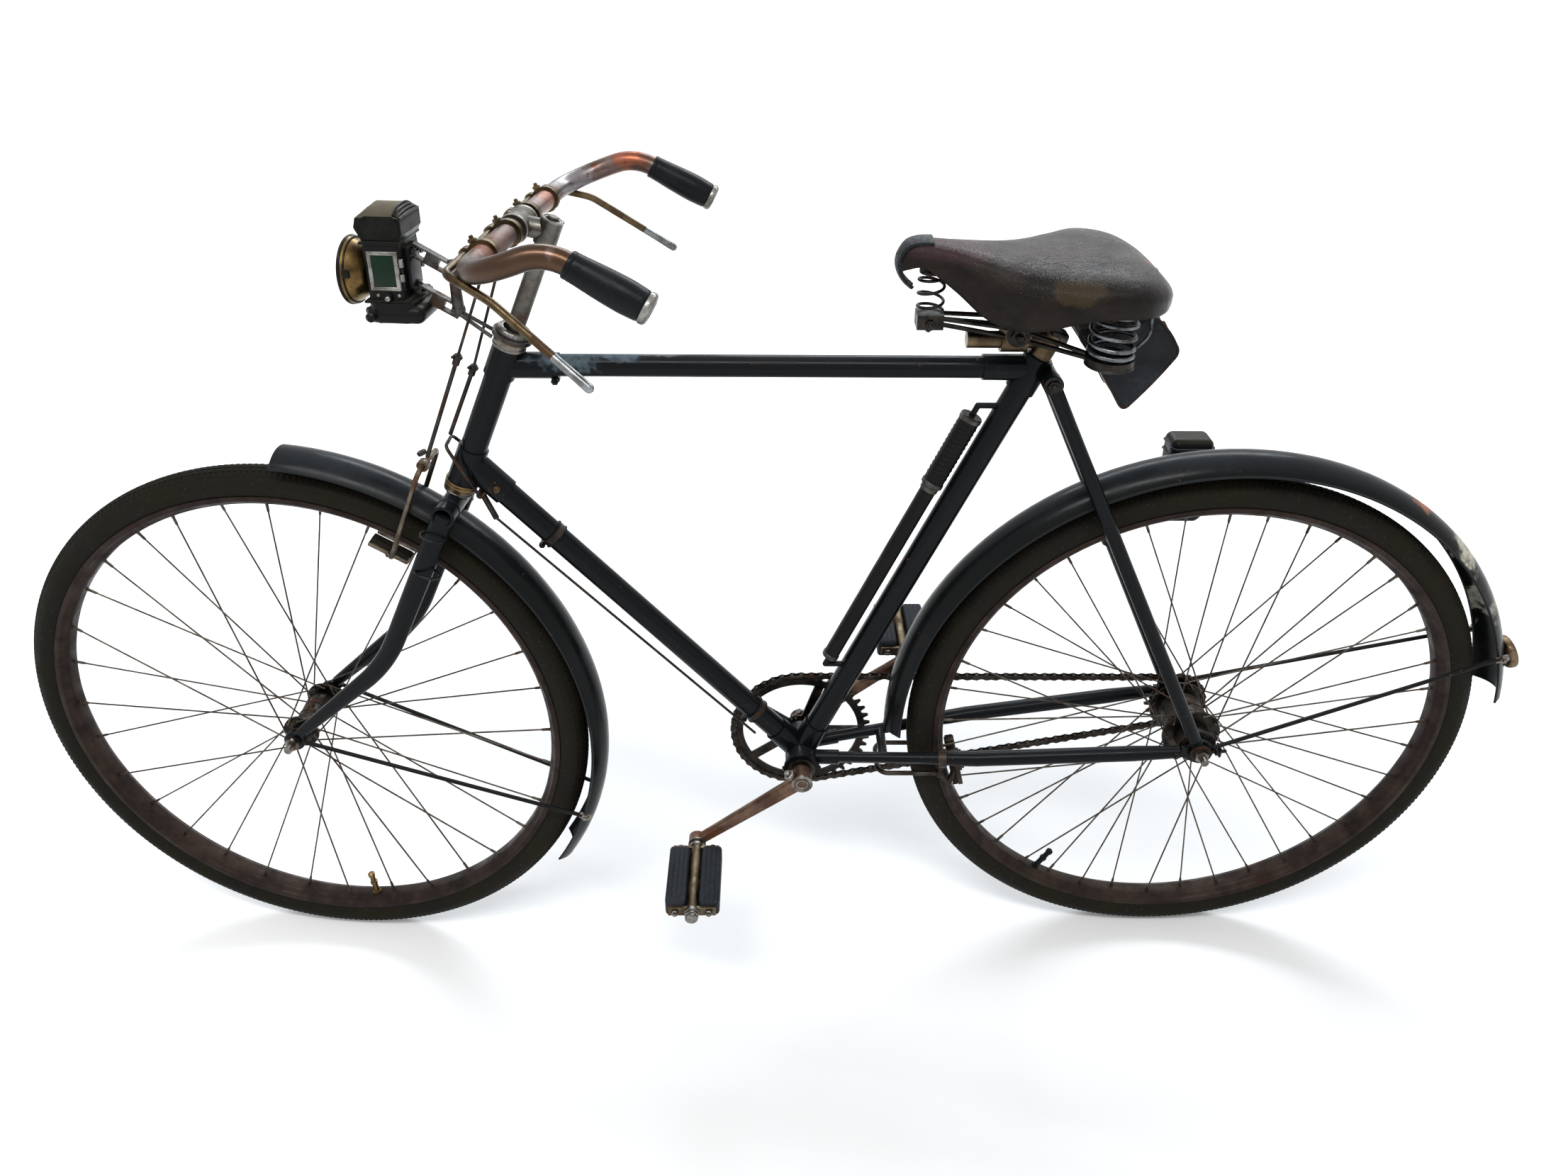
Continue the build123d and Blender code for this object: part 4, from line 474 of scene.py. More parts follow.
bar_chrome = metal("bar_chrome", (0.20, 0.145, 0.130), (0.070, 0.042, 0.032), (0.22, 0.070, 0.028), 0.45, 0.34, scale=18, pits=0.7, spots=(
    # Dark brown on the left side's bend: tarnish, darkened further as a painted dark reflection.
    (row(-748, -200, 655), 0.085, (0.062, 0.036, 0.023), 0.9),
    (row(-690, -200, 670), 0.05, (0.075, 0.042, 0.026), 0.85),
    (row(-700, 196, 676), 0.030, (0.34, 0.085, 0.035), 0.6),
    (row(-640, 200, 655), 0.020, (0.26, 0.075, 0.035), 0.5),
    # Pale blue-grey patch on the right side by the clamp: a painted reflection.
    (row(-770, 170, 652), 0.040, (0.26, 0.28, 0.31), 0.5),
    (row(-784, 92, 652), 0.030, (0.30, 0.10, 0.045), 0.5),
    (row(-786, 30, 652), 0.016, (0.26, 0.09, 0.04), 0.4),
    (row(-786, -60, 652), 0.040, (0.12, 0.085, 0.075), 0.7)))
stem_steel = metal("stem_steel", (0.125, 0.118, 0.105), (0.055, 0.048, 0.040), (0.085, 0.048, 0.026), 0.4, 0.4, scale=28)
lever_steel = metal("lever_steel", (0.125, 0.088, 0.046), (0.032, 0.023, 0.014), (0.08, 0.04, 0.018), 0.5, 0.34, scale=30)
lever_tip = metal("lever_tip", (0.30, 0.32, 0.33), (0.12, 0.12, 0.115), (0.13, 0.08, 0.045), 0.2, 0.3, scale=40)
brake_steel = metal("brake_steel", (0.055, 0.046, 0.040), (0.018, 0.016, 0.014), (0.07, 0.03, 0.014), 0.5, 0.45, scale=50)
stirrup_steel = metal("stirrup_steel", (0.15, 0.12, 0.09), (0.05, 0.04, 0.03), (0.12, 0.05, 0.02), 0.5, 0.4, scale=50)
hub_steel = metal("hub_steel", (0.050, 0.044, 0.037), (0.011, 0.010, 0.009), (0.07, 0.03, 0.016), 0.45, 0.42, scale=45)
nut_steel = metal("nut_steel", (0.25, 0.235, 0.21), (0.085, 0.072, 0.058), (0.15, 0.06, 0.025), 0.45, 0.35, scale=60)
spoke_steel = metal("spoke_steel", (0.105, 0.088, 0.070), (0.028, 0.023, 0.019), (0.07, 0.03, 0.016), 0.5, 0.42, scale=60)
rim_steel = metal("rim_steel", (0.036, 0.023, 0.018), (0.012, 0.008, 0.007), (0.042, 0.019, 0.013), 0.4, 0.5, scale=30, metallic=0.4)
crank_steel = metal("crank_steel", (0.185, 0.112, 0.078), (0.060, 0.036, 0.027), (0.15, 0.055, 0.024), 0.6, 0.4, scale=26)
drive_steel = metal("drive_steel", (0.035, 0.030, 0.026), (0.011, 0.010, 0.009), (0.045, 0.020, 0.011), 0.4, 0.45, scale=60)
chain_steel = metal("chain_steel", (0.045, 0.038, 0.032), (0.013, 0.011, 0.010), (0.05, 0.023, 0.012), 0.45, 0.42, scale=70)
pedal_steel = metal("pedal_steel", (0.15, 0.118, 0.075), (0.058, 0.044, 0.030), (0.11, 0.05, 0.022), 0.45, 0.4, scale=50)
post_steel = metal("post_steel", (0.135, 0.098, 0.058), (0.045, 0.032, 0.020), (0.12, 0.055, 0.024), 0.4, 0.4, scale=30)
spring_steel = metal("spring_steel", (0.20, 0.22, 0.24), (0.040, 0.038, 0.036), (0.06, 0.03, 0.016), 0.4, 0.32, scale=50)
rail_steel = metal("rail_steel", (0.034, 0.031, 0.028), (0.011, 0.010, 0.009), (0.07, 0.03, 0.016), 0.4, 0.42, scale=50)
brass = metal("brass", (0.22, 0.145, 0.055), (0.075, 0.046, 0.018), (0.08, 0.045, 0.018), 0.3, 0.32, scale=30, pits=0.6)
silver = metal("silver", (0.27, 0.265, 0.25), (0.10, 0.09, 0.075), (0.14, 0.075, 0.035), 0.25, 0.3, scale=60)
tyre_rubber = rubber("tyre_rubber", (0.0055, 0.0050, 0.0035), (0.024, 0.020, 0.011), 0.8, 40, 0.6)
pedal_rubber = rubber("pedal_rubber", (0.010, 0.012, 0.015), (0.038, 0.044, 0.053), 0.6, 40, 0.6)
grip_rubber = rubber("grip_rubber", (0.0035, 0.0045, 0.0055), (0.014, 0.019, 0.024), 0.38, 50, 0.4)
pad_rubber = rubber("pad_rubber", (0.007, 0.006, 0.005), (0.03, 0.022, 0.015), 0.8, 60, 0.5)
lamp_enamel = enamel("lamp_enamel", (0.006, 0.0065, 0.006), (0.050, 0.046, 0.034), 0.5, 1.0, rough=0.32)
roof_enamel = enamel("roof_enamel", (0.008, 0.008, 0.006), (0.16, 0.14, 0.095), 0.85, 1.0, rough=0.42, low=0.5)
arm_steel = metal("arm_steel", (0.085, 0.080, 0.075), (0.030, 0.027, 0.024), (0.08, 0.04, 0.02), 0.5, 0.45, scale=50)
pump_enamel = enamel("pump_enamel", (0.005, 0.005, 0.0055), (0.02, 0.024, 0.028), 0.3, 0.6, rough=0.4)
# A near-black finish put in holes, standing for the shade inside them: painted shade.
painted_hole_shade = plain("painted_hole_shade", (0.01, 0.01, 0.01), 0.7)


# Wheels, each drawn about its own axle

RIM_IN, TYRE_MID, TYRE_R = 309.5, 335.5, 20.0
RIM_HALF_PROFILE = (
    (309.5, 0), (309.5, 6.5), (310.1, 8.2), (311.6, 9.9), (314.4, 12.6), (315.9, 14.2), (316.5, 15.8), (317.6, 16.5),
    (320, 16.5), (322.2, 16.5), (323, 16.1), (323, 15.3), (322.2, 14.95), (319, 14.95), (317.4, 14.6), (316.6, 13.2),
    (313, 9.6), (311.4, 7.4), (311.1, 6), (311.1, 0),
)
TREAD_ANGLES = (0, 4, 9, 9.6, 12, 12.6, 20, 26.4, 27, 29.6, 30.2, 39, 47, 48.5, 54, 60, 61.5, 70, 80, 82, 95, 110, 122, 133)
TREAD_BLOCKS = 300


def spoke_in_wheel(radius, angle, y):
    return Vector((radius * math.cos(angle), y, radius * math.sin(angle)))


def tread_depth(angle, step):
    """How far the tread is cut in, at an angle round the tyre's section and a step round the wheel."""
    size = abs(angle)
    third = (step + (1 if angle > 0 else 0)) % 3
    if size < 9.3:
        return 0.0 if (step % 6) < 3 or size < 4.5 else 0.55
    if size < 12.3:
        return 1.1
    if size < 26.7:
        return 1.0 if third == 0 else 0.0
    if size < 29.9:
        return 1.0
    if size < 47.5:
        return 1.3 if third == 1 else 0.1
    if 60 <= size <= 61.5 or 80 <= size <= 82:
        return 0.35
    return 0.75


def tyre(name, body, node, where):
    angles = [-a for a in reversed(TREAD_ANGLES[1:])] + list(TREAD_ANGLES)
    rows = []
    count = TREAD_BLOCKS * 3
    for step in range(count):
        turn = 2 * math.pi * step / count
        line = []
        for angle in angles:
            radius = TYRE_R - tread_depth(angle, step)
            a = math.radians(angle)
            line.append(spoke_in_wheel(TYRE_MID + radius * math.cos(a), turn, radius * math.sin(a)))
        rows.append(line)
    Shape().grid(rows, wrap_rows=True).done(name, tyre_rubber, body, "tyre_rubber", (node,), where, 30)


def rim(name, body, node, where):
    profile = list(RIM_HALF_PROFILE) + [(r, -y) for r, y in reversed(RIM_HALF_PROFILE[1:-1])]
    Shape().lathe(profile, (0, 0, 0), RIGHT, 180, loop=True).done(name, rim_steel, body, "rim_steel", (node,), where, 30)


def spokes(name, body, node, where, count, flange_y, flange_r):
    shape = Shape()
    holes, hole_r, rim_r = count // 2, flange_r - 4, RIM_IN - 0.3
    for index in range(count):
        side = 1 if index % 2 else -1
        outside = 1 if (index // 2) % 2 else -1
        lean = math.sqrt(flange_r ** 2 - hole_r ** 2) * flange_y / rim_r if outside > 0 else 0
        rim_angle = 2 * math.pi * index / count
        hub_angle = rim_angle + outside * 3 * 2 * math.pi / holes
        lift = flange_y + outside * (3.3 + lean)
        start = spoke_in_wheel(hole_r, hub_angle, side * lift)
        end = spoke_in_wheel(rim_r, rim_angle, side * 3)
        way = (end - start).normalized()
        shape.tube([start, end - way * 9], 1.0, 8)
        shape.lathe([(0, 0), (1.35, 0.3), (1.7, 2.2), (1.7, 9), (2.3, 12.4), (0, 12.4)], end - way * 12.4, way, 8)
        shape.dome(start, (0, side * outside, 0), 2.0, 1.0, sides=8)
        shape.dome(start, (0, -side * outside, 0), 1.6, 0.8, sides=8)
    shape.done(name, spoke_steel, body, "spoke_steel", (node,), where, 50)


def valve(name, body, where, degrees, tint):
    angle = math.radians(degrees)
    way = -spoke_in_wheel(1, angle, 0)
    shape = Shape().lathe([(0, 0), (5.5, 0.2), (5.5, 2.2), (3.6, 2.6), (3.6, 16), (4.6, 16.4), (4.6, 20), (3.4, 20.6), (3.4, 29),
                           (4.4, 29.6), (4.4, 34), (2, 36), (0, 36)], spoke_in_wheel(RIM_IN, angle, 0), way, 14)
    shape.done(name, tint, body, "spoke_steel", (), where)


def hub_trim(name, body, where, hub_r, flange_r, flange_y, half, bands):
    """Rolled bands, end caps against grit and the oil hole's clip on a hub."""
    shape = Shape()
    for side in (-1, 1):
        shape.lathe([(flange_r - 0.6, -1.9), (flange_r + 0.2, -1.2), (flange_r + 0.2, 1.2), (flange_r - 0.6, 1.9)],
                    (0, side * flange_y, 0), RIGHT, 48)
        shape.lathe([(hub_r * 0.82, 0), (hub_r * 0.88, 1), (hub_r * 0.88, 3), (hub_r * 0.6, 5), (hub_r * 0.6, 5.4), (0, 5.4)],
                    (0, side * (half - 4.8), 0), (0, side, 0), 32)
    for y in bands:
        shape.lathe([(hub_r - 0.2, -2.2), (hub_r + 0.9, -1.4), (hub_r + 0.9, 1.4), (hub_r - 0.2, 2.2)], (0, y, 0), RIGHT, 48)
    shape.dome((0, 0, hub_r), UP, 4, 3)
    shape.done(name, hub_steel, body, "hub_steel", (), where)


for side_name, body, where, count, flange_y, flange_r, hub_r, half in (
        ("front", "front_wheel", FRONT_WHEEL, 32, 33, 22, 14, 44), ("rear", "rear_wheel", STILL, 40, 27, 36, 27, 52)):
    tyre(side_name + "_tyre_treaded", body, side_name + "_tyre", where)
    rim(side_name + "_rim_rolled", body, side_name + "_rim", where)
    spokes(side_name + "_spokes_laced", body, side_name + "_spokes", where, count, flange_y, flange_r)
    hub_trim(side_name + "_hub_trim", body, where, hub_r, flange_r, flange_y, half, (-8, 8) if count == 32 else (-14, 0, 14))
valve("front_valve", "front_wheel", FRONT_WHEEL, -83, brass)
valve("rear_valve", "rear_wheel", STILL, -121.5, wire_enamel)


# Chain drive

PITCH = 12.7
CHAIN_Y = 38.0
RING_R = PITCH / (2 * math.sin(math.pi / 44))
SPROCKET_R = PITCH / (2 * math.sin(math.pi / 18))


def chain_places():
    """The pins' places along the chain, at an even spacing near one pitch."""
    gap = Vector((-BRACKET.x, -BRACKET.z))
    tilt = math.atan2(gap.y, gap.x)
    lean = math.asin((RING_R - SPROCKET_R) / gap.length)
    run = math.sqrt(gap.length ** 2 - (RING_R - SPROCKET_R) ** 2)
    up, down = tilt + math.pi / 2 - lean, tilt - math.pi / 2 + lean
    big, small = math.pi + 2 * lean, math.pi - 2 * lean
    total = 2 * run + big * RING_R + small * SPROCKET_R
    count = 2 * round(total / PITCH / 2)
    centre = Vector((BRACKET.x, BRACKET.z))
    places = []
    for index in range(count):
        d = total * index / count
        if d < run:
            start = centre + RING_R * Vector((math.cos(up), math.sin(up)))
            spot = start + d * Vector((math.cos(up - math.pi / 2), math.sin(up - math.pi / 2)))
        elif d < run + small * SPROCKET_R:
            angle = up - (d - run) / SPROCKET_R
            spot = SPROCKET_R * Vector((math.cos(angle), math.sin(angle)))
        elif d < 2 * run + small * SPROCKET_R:
            start = SPROCKET_R * Vector((math.cos(down), math.sin(down)))
            spot = start + (d - run - small * SPROCKET_R) * Vector((math.cos(down - math.pi / 2), math.sin(down - math.pi / 2)))
        else:
            angle = down - (d - 2 * run - small * SPROCKET_R) / RING_R
            spot = centre + RING_R * Vector((math.cos(angle), math.sin(angle)))
        places.append(Vector((spot.x, CHAIN_Y, spot.y)))
    return places


def chain_plate(shape, a, b, y, thick, big, waist):
    """A figure-of-eight plate between two pins."""
    way = (b - a).normalized()
    side = way.cross(RIGHT)
    length = (b - a).length
    outline = []
    for centre, start in ((length, -math.pi / 2), (0, math.pi / 2)):
        for step in range(7):
            angle = start + math.pi * step / 6
            outline.append((centre + big * math.cos(angle), big * math.sin(angle)))
        outline.append((length / 2, waist if start < 0 else -waist))
    rows = []
    for shift, shrink in ((-thick / 2, 0.86), (-thick / 2 + 0.25, 1), (thick / 2 - 0.25, 1), (thick / 2, 0.86)):
        middle = a + way * length / 2
        rows.append([Vector((0, y + shift, 0)) + middle * 1.0 - Vector((0, CHAIN_Y, 0))
                     + way * (u - length / 2) * (1 if shrink == 1 else 0.97) + side * v * shrink for u, v in outline])
    shape.grid(rows, ends=True)


links = chain_places()
chain_shape = Shape()
for index, spot in enumerate(links):
    ahead = links[(index + 1) % len(links)]
    outer = index % 2
    for side in (-1, 1):
        chain_plate(chain_shape, spot, ahead, CHAIN_Y + side * (2.95 if outer else 2.2), 0.7, 4.1, 2.7)
    chain_shape.rod(spot - RIGHT * 1.8, spot + RIGHT * 1.8, 3.5, sides=10)
    chain_shape.lathe([(0, -3.7), (1.5, -3.5), (1.7, -3.2), (1.7, 3.2), (1.5, 3.5), (0, 3.7)], spot, RIGHT, 8)
chain_shape.done("chain_links", chain_steel, "frame", "chain_steel", ("chain",), angle=40)


# Cranks and pedals

def crank_end(side):
    angle = math.radians(38 if side > 0 else 218)
    return angle, Vector((math.cos(angle), 0, math.sin(angle)))


crank_trim = Shape()
for side in (-1, 1):
    angle, way = crank_end(side)
    across = Vector((-way.z, 0, way.x)) * (1 if side < 0 else -1)
    if side < 0:
        across = -across
    centre = BRACKET + Vector((0, side * 55, 0)) + way * 7.5
    crank_trim.rod(centre - across * 15, centre + across * 15, 4.6, edge=0.8)
    crank_trim.nut(centre + across * 15.5, across, 7.4, 6, 3.5)
    crank_trim.lathe([(13.2, -0.4), (13.4, 1.6), (11.2, 2.6), (9.4, 2.2), (9.2, 0.6)], BRACKET + Vector((0, side * 61, 0)),
                     (0, side, 0), 36)
    crank_trim.lathe([(8.4, 0), (8.4, 1.2), (6, 1.4), (5.4, 0.4), (0, 0.2)], BRACKET + Vector((0, side * 62.4, 0)), (0, side, 0), 24)
    eye = BRACKET + way * 170 + Vector((0, side * 61, 0))
    crank_trim.lathe([(11.4, -0.6), (11.4, 0.6), (8, 1.6), (7, 0.8)], eye, (0, side, 0), 28)
    crank_trim.lathe([(6.4, -3), (6.4, 1.4), (4.8, 2.4), (0, 2.4)], BRACKET + way * 170 + Vector((0, side * 46.6, 0)), (0, -side, 0), 14)
crank_trim.done("crank_trim", nut_steel, "crankset", "crank_steel")

ring_trim = Shape()
for step in range(5):
    angle = math.radians(step * 72 + 36)
    ring_trim.nut(BRACKET + Vector((20 * math.cos(angle), CHAIN_Y - 2.6, 20 * math.sin(angle))), (0, -1, 0), 3.6, 2.4, 0.6)
    ring_trim.nut(BRACKET + Vector((20 * math.cos(angle), CHAIN_Y + 2.6, 20 * math.sin(angle))), (0, 1, 0), 3.6, 2.4, 0.6)
ring_trim.done("chainring_bolts", hub_steel, "crankset", "drive_steel")

bracket_trim = Shape()
for side in (-1, 1):
    start = BRACKET + Vector((0, side * 31, 0))
    for step in range(6):
        angle = math.pi * 2 * step / 6
        bracket_trim.block(start + Vector((23 * math.cos(angle), side * 2.4, 23 * math.sin(angle))), (3.2, 3.8, 3.2),
                           Matrix.Rotation(-angle, 3, "Y"), 0.6)
    bracket_trim.lathe([(17, 4.4), (17.5, 6.2), (14.5, 7), (9.2, 7), (9, 5)], start, (0, side, 0), 40)
bracket_trim.dome(BRACKET + Vector((-8, 0, -20)), (-0.4, 0, -0.9), 4, 3)
bracket_trim.done("bracket_rings", hub_steel, "frame", "frame_enamel")

PEDAL_SECTION = []
for cx, cz, start in ((9.6, 9.1, 0), (-9.6, 9.1, 90), (-9.6, -9.1, 180), (9.6, -9.1, 270)):
    for step in range(4):
        a = math.radians(start + 30 * step)
        PEDAL_SECTION.append((cx + 2.9 * math.cos(a), cz + 2.9 * math.sin(a)))
    if start in (0, 180):
        sign = 1 if start == 0 else -1
        for x in (7.4, 6.2, 5.0, 1.4, 0.0, -1.4, -5.0, -6.2, -7.4):
            deep = 0.6 if abs(x) in (6.2, 0.0) else 0
            PEDAL_SECTION.append((sign * x, sign * (12 - deep)))
    else:
        sign = -1 if start == 90 else 1
        for z in (5.5, 4.4, 3.3, -3.3, -4.4, -5.5):
            deep = 0.5 if abs(z) == 4.4 else 0
            PEDAL_SECTION.append((sign * (12.5 - deep), -sign * z))


def pedal(side, side_name):
    _, way = crank_end(side)
    tip = BRACKET + way * 170
    inner, outer = 69, 167
    rubber_shape, trim = Shape(), Shape()
    for shift in (-20.5, 20.5):
        rows = []
        for y, shrink in ((inner + 4.1, 0.66), (inner + 4.7, 0.80), (inner + 6.4, 0.92), (inner + 10, 1), (inner + 49, 1),
                          (outer - 30, 1), (outer - 10, 1), (outer - 6.4, 0.92), (outer - 4.7, 0.80), (outer - 4.1, 0.66)):
            rows.append([tip + Vector((shift + u * shrink, side * y, v * shrink)) for u, v in PEDAL_SECTION])
        rubber_shape.grid(rows, ends=True)
        for y, out in ((outer + 0.3, 1), (inner - 0.3, -1)):
            trim.nut(tip + Vector((shift, side * (y + out * 1.6), 0)), (0, side * out, 0), 4.6, 3.2, 1.6)
    trim.lathe([(8.2, -4), (8.8, -3.4), (8.8, 1), (7.6, 1.6), (7.6, 3), (8.4, 3.6), (8.4, 5), (7.2, 5.6), (7.2, 7), (7.8, 7.6),
                (7.8, 8.8), (5.6, 10.4), (0, 10.8)], tip + Vector((0, side * 168.5, 0)), (0, side, 0), 28)
    trim.lathe([(8.2, 0), (9.6, 0.6), (9.6, 4), (8, 5)], tip + Vector((0, side * 64, 0)), (0, side, 0), 28)
    rubber_shape.done(side_name + "_pedal_rubbers", pedal_rubber, side_name + "_pedal", "pedal_rubber",
                      (side_name + "_pedal_blocks",), angle=32)
    trim.done(side_name + "_pedal_trim", silver, side_name + "_pedal", "pedal_steel")


pedal(-1, "left")
pedal(1, "right")


# Handlebar, grips, levers and head

BAR_END, BAR_CREST, BAR_FRONT = Vector((-617, 202.3, 628)), Vector((-704.5, 196.5, 674)), Vector((-786.5, 206, 644))
BAR_CLAMP = Vector((-786.5, 0, 644))
LEVER_PATH = [Vector((-803.5, 24, 645)), Vector((-803.5, 170, 643)), Vector((-757, 193, 627)), Vector((-664, 223.5, 559))]


def flip(point):
    return Vector((point.x, -point.y, point.z))


bar_line = bent_line([flip(BAR_END), flip(BAR_CREST), flip(BAR_FRONT), BAR_FRONT, BAR_CREST, BAR_END], [50, 56, 56, 50], 0.1)
Shape().tube(bar_line, 11.0, 32).done("handlebar_tube", bar_chrome, "steering", "bar_chrome", ("handlebar",), STEERED, 60)

for side, side_name in ((-1, "left"), (1, "right")):
    end, crest = (BAR_END, BAR_CREST) if side > 0 else (flip(BAR_END), flip(BAR_CREST))
    way = (end - crest).normalized()
    start = end - way * 74
    grip = Shape()
    profile = [(11.3, 1.5), (13.0, 1.6), (13.4, 3), (13.2, 5), (13.5, 7)]
    for step in range(24):
        share = step / 23
        h = 8 + share * 60
        profile.append((13.4 + 2.3 * math.sin(math.pi * min(share * 1.25, 1.0) * 0.5) - 0.9 * max(0, share - 0.75) * 4, h))
    profile += [(14.2, 69.5), (13.2, 70.2), (11.3, 70.4)]
    grip.lathe(profile, start, way, 40)
    cap = [(11.2, 70), (14.6, 70.2), (15.2, 71.2), (15.2, 74.4), (14.2, 76.4), (12, 77.4), (9, 77.6), (8.2, 76.6), (0, 76.2)]
    grip.lathe(cap, start, way, 40, slot=1)
    grip.lathe([(11.1, -3.4), (12.6, -3.2), (13.2, -2.2), (13.2, 0.6), (12.8, 1.4), (13.3, 2), (11.1, 2.4)], start, way, 40, slot=0)
    grip.done(side_name + "_grip_moulded", [grip_rubber, silver], "steering", "grip_rubber", (side_name + "_grip",), STEERED, 40)

levers = Shape()
for mirror in (False, True):
    points = [flip(p) for p in LEVER_PATH] if mirror else LEVER_PATH
    line = bent_line(points, [14, 45], 0.12)
    tip = line[-1]
    before = tip + (line[-2] - tip).normalized() * 46
    levers.tube(line[:-1] + [before], 4.1, 14)
    levers.tube([before + (tip - before) * k for k in (0, 0.3, 0.6, 1)], [4.15, 4.2, 4.4, 4.6], 14, slot=1, round_end=True)
levers.done("brake_levers_round", [lever_steel, lever_tip], "steering", "lever_steel", ("brake_levers",), STEERED, 60)

clips = Shape()
for y in (34.5, 108.5, -34.5, -108.5):
    clips.nut((-797, y, 656.5), (-0.3, 0, 1), 4.4, 3.4, 2.5)
    clips.lathe([(14, -4.2), (14.3, -3.6), (14.3, 3.6), (14, 4.2)], (-786.5, y, 644), RIGHT, 30)
    clips.block((-797.6, y, 652), (4, 7.4, 9), Matrix.Rotation(0.5, 3, "Y"), 0.8)
for y in (-27, 27):
    clips.lathe([(0, -5), (5.6, -4.6), (6, -3.6), (6, 3.6), (5.6, 4.6), (0, 5)], (-803.5, y, 645), RIGHT, 18)
    clips.rod((-803.5, y, 642), (-803.5, y, 635.5), 2.6, sides=10, edge=0.5)
clips.done("lever_clip_bolts", lever_steel, "steering", "lever_steel", (), STEERED)

stem_trim = Shape()
top = on_steering(STEM_TOP)
stem_trim.lathe([(11.7, -0.8), (12.3, -0.2), (12.3, 1.4), (11.2, 2.2), (9.2, 2.0), (8.6, 1.0), (7.4, 0.8)], top, STEER_WAY, 40, slot=1)
# Dark disc in the stem's top bore round its bolt: painted shade.
stem_trim.lathe([(8, 0.2), (0, 0.2)], top, STEER_WAY, 24, slot=2)
stem_trim.nut(top + STEER_WAY * 2.0, STEER_WAY, 5.4, 4.4)
for y in (-17.6, 17.6):
    stem_trim.lathe([(14.4, -1.8), (15.4, -1.2), (15.6, 0), (15.4, 1.2), (14.4, 1.8)], BAR_CLAMP + Vector((0, y, 0)), RIGHT, 40, slot=1)
stem_trim.block(BAR_CLAMP + Vector((-9, 0, -12.5)), (11, 15, 9), Matrix.Rotation(0.6, 3, "Y"), 2)
stem_trim.nut(BAR_CLAMP + Vector((-10, -9.5, -13)), (0, -1, 0), 5.2, 4, 2)
stem_trim.dome(BAR_CLAMP + Vector((-10, 7.8, -13)), (0, 1, 0), 5, 3)
stem_trim.done("stem_trim", [stem_steel, silver, painted_hole_shade], "steering", "bar_chrome", (), STEERED)

top_race = Shape()
base = HEAD_END + 9.3
top_race.lathe([(16.9, 0.4), (17.6, 1), (17.6, 4.2), (16.2, 5.2), (16.2, 5.8), (18.4, 6.4), (18.4, 11.4), (17.6, 12.4), (13, 13.2)],
               on_steering(base), STEER_WAY, 44)
for step in range(24):
    a = 2 * math.pi * step / 24
    side_way, other_way = basis(STEER_WAY)
    top_race.rod(on_steering(base + 6.8) + (side_way * math.cos(a) + other_way * math.sin(a)) * 18.3,
                 on_steering(base + 11) + (side_way * math.cos(a) + other_way * math.sin(a)) * 18.3, 0.9, sides=6)
top_race.done("top_race_rings", race_steel, "steering", "race_steel", (), STEERED)
low_race = Shape().lathe([(16.9, 0.3), (17.7, 0.9), (17.7, 2.4), (16.8, 3.2), (16.8, 4.2)], on_steering(CROWN_ALONG + 13), STEER_WAY, 44)
low_race.done("crown_race_ring", race_steel, "steering", "race_steel", (), STEERED)

cups = Shape()
cups.lathe([(18.1, -0.2), (18.6, 0.8), (18.6, 2.2), (17.8, 3.4), (18.3, 4.6), (18.3, 7.6), (17.4, 8.8), (15, 9.1)],
           on_steering(HEAD_END), STEER_WAY, 44)
cups.lathe([(18.1, 0.2), (18.6, -0.8), (18.6, -2.2), (17.8, -3.4), (18.3, -4.6), (18.3, -7.6), (17.4, -8.8), (15, -9.1)],
           on_steering(HEAD_START), STEER_WAY, 44, slot=1)
cups.done("head_cup_rings", [race_steel, race_brass], "frame", "race_steel", ())

fork_trim = Shape()
crown = on_steering(CROWN_ALONG)
for side in (-1, 1):
    fork_trim.lathe([(13.1, -1.6), (13.9, -1), (13.9, 0.4), (12.6, 1), (10.6, 0.8), (10.2, -6)], crown + Vector((0, side * 46, 0)),
                    (0, side, 0), 40)
    fork_trim.lathe([(13.1, -1.2), (13.8, -0.6), (13.8, 0.6), (13.1, 1.2)], crown + Vector((0, side * 27, 0)), (0, side, 0), 36)
    for x, z in ((-916.4, 252), (-904.5, 300)):
        spot = Vector((x + 2, side * 48, z))
        fork_trim.tube([spot + Vector((13.4 * math.cos(a), side * 0 + 9.6 * math.sin(a), -3.5 * math.cos(a)))
                        for a in (2 * math.pi * k / 24 for k in range(24))], 1.5, 8, closed=True)
fork_trim.done("fork_bands", fork_enamel, "steering", "frame_enamel", (), STEERED)

BLADE_TOP, BLADE_CORNER, BLADE_END = Vector((0, 38.5, 0)), Vector((-982, 48.75, 122)), Vector((-1103, 51, 14))
BLADE_TOP += Vector((crown.x, 0, crown.z))
BLADE_HALVES = ((0, 13, 9), (0.45, 12, 9), (0.6, 11.2, 8.6), (0.7, 10.4, 8.2), (0.8, 9.4, 7.8), (0.9, 8.2, 7.4), (1, 7, 7))


def between(share, table):
    """The two numbers of a table at a share of its length."""
    for (a, *first), (b, *second) in zip(table, table[1:]):
        if share <= b:
            t = (share - a) / (b - a)
            return [p + (q - p) * t for p, q in zip(first, second)]
    return table[-1][1:]


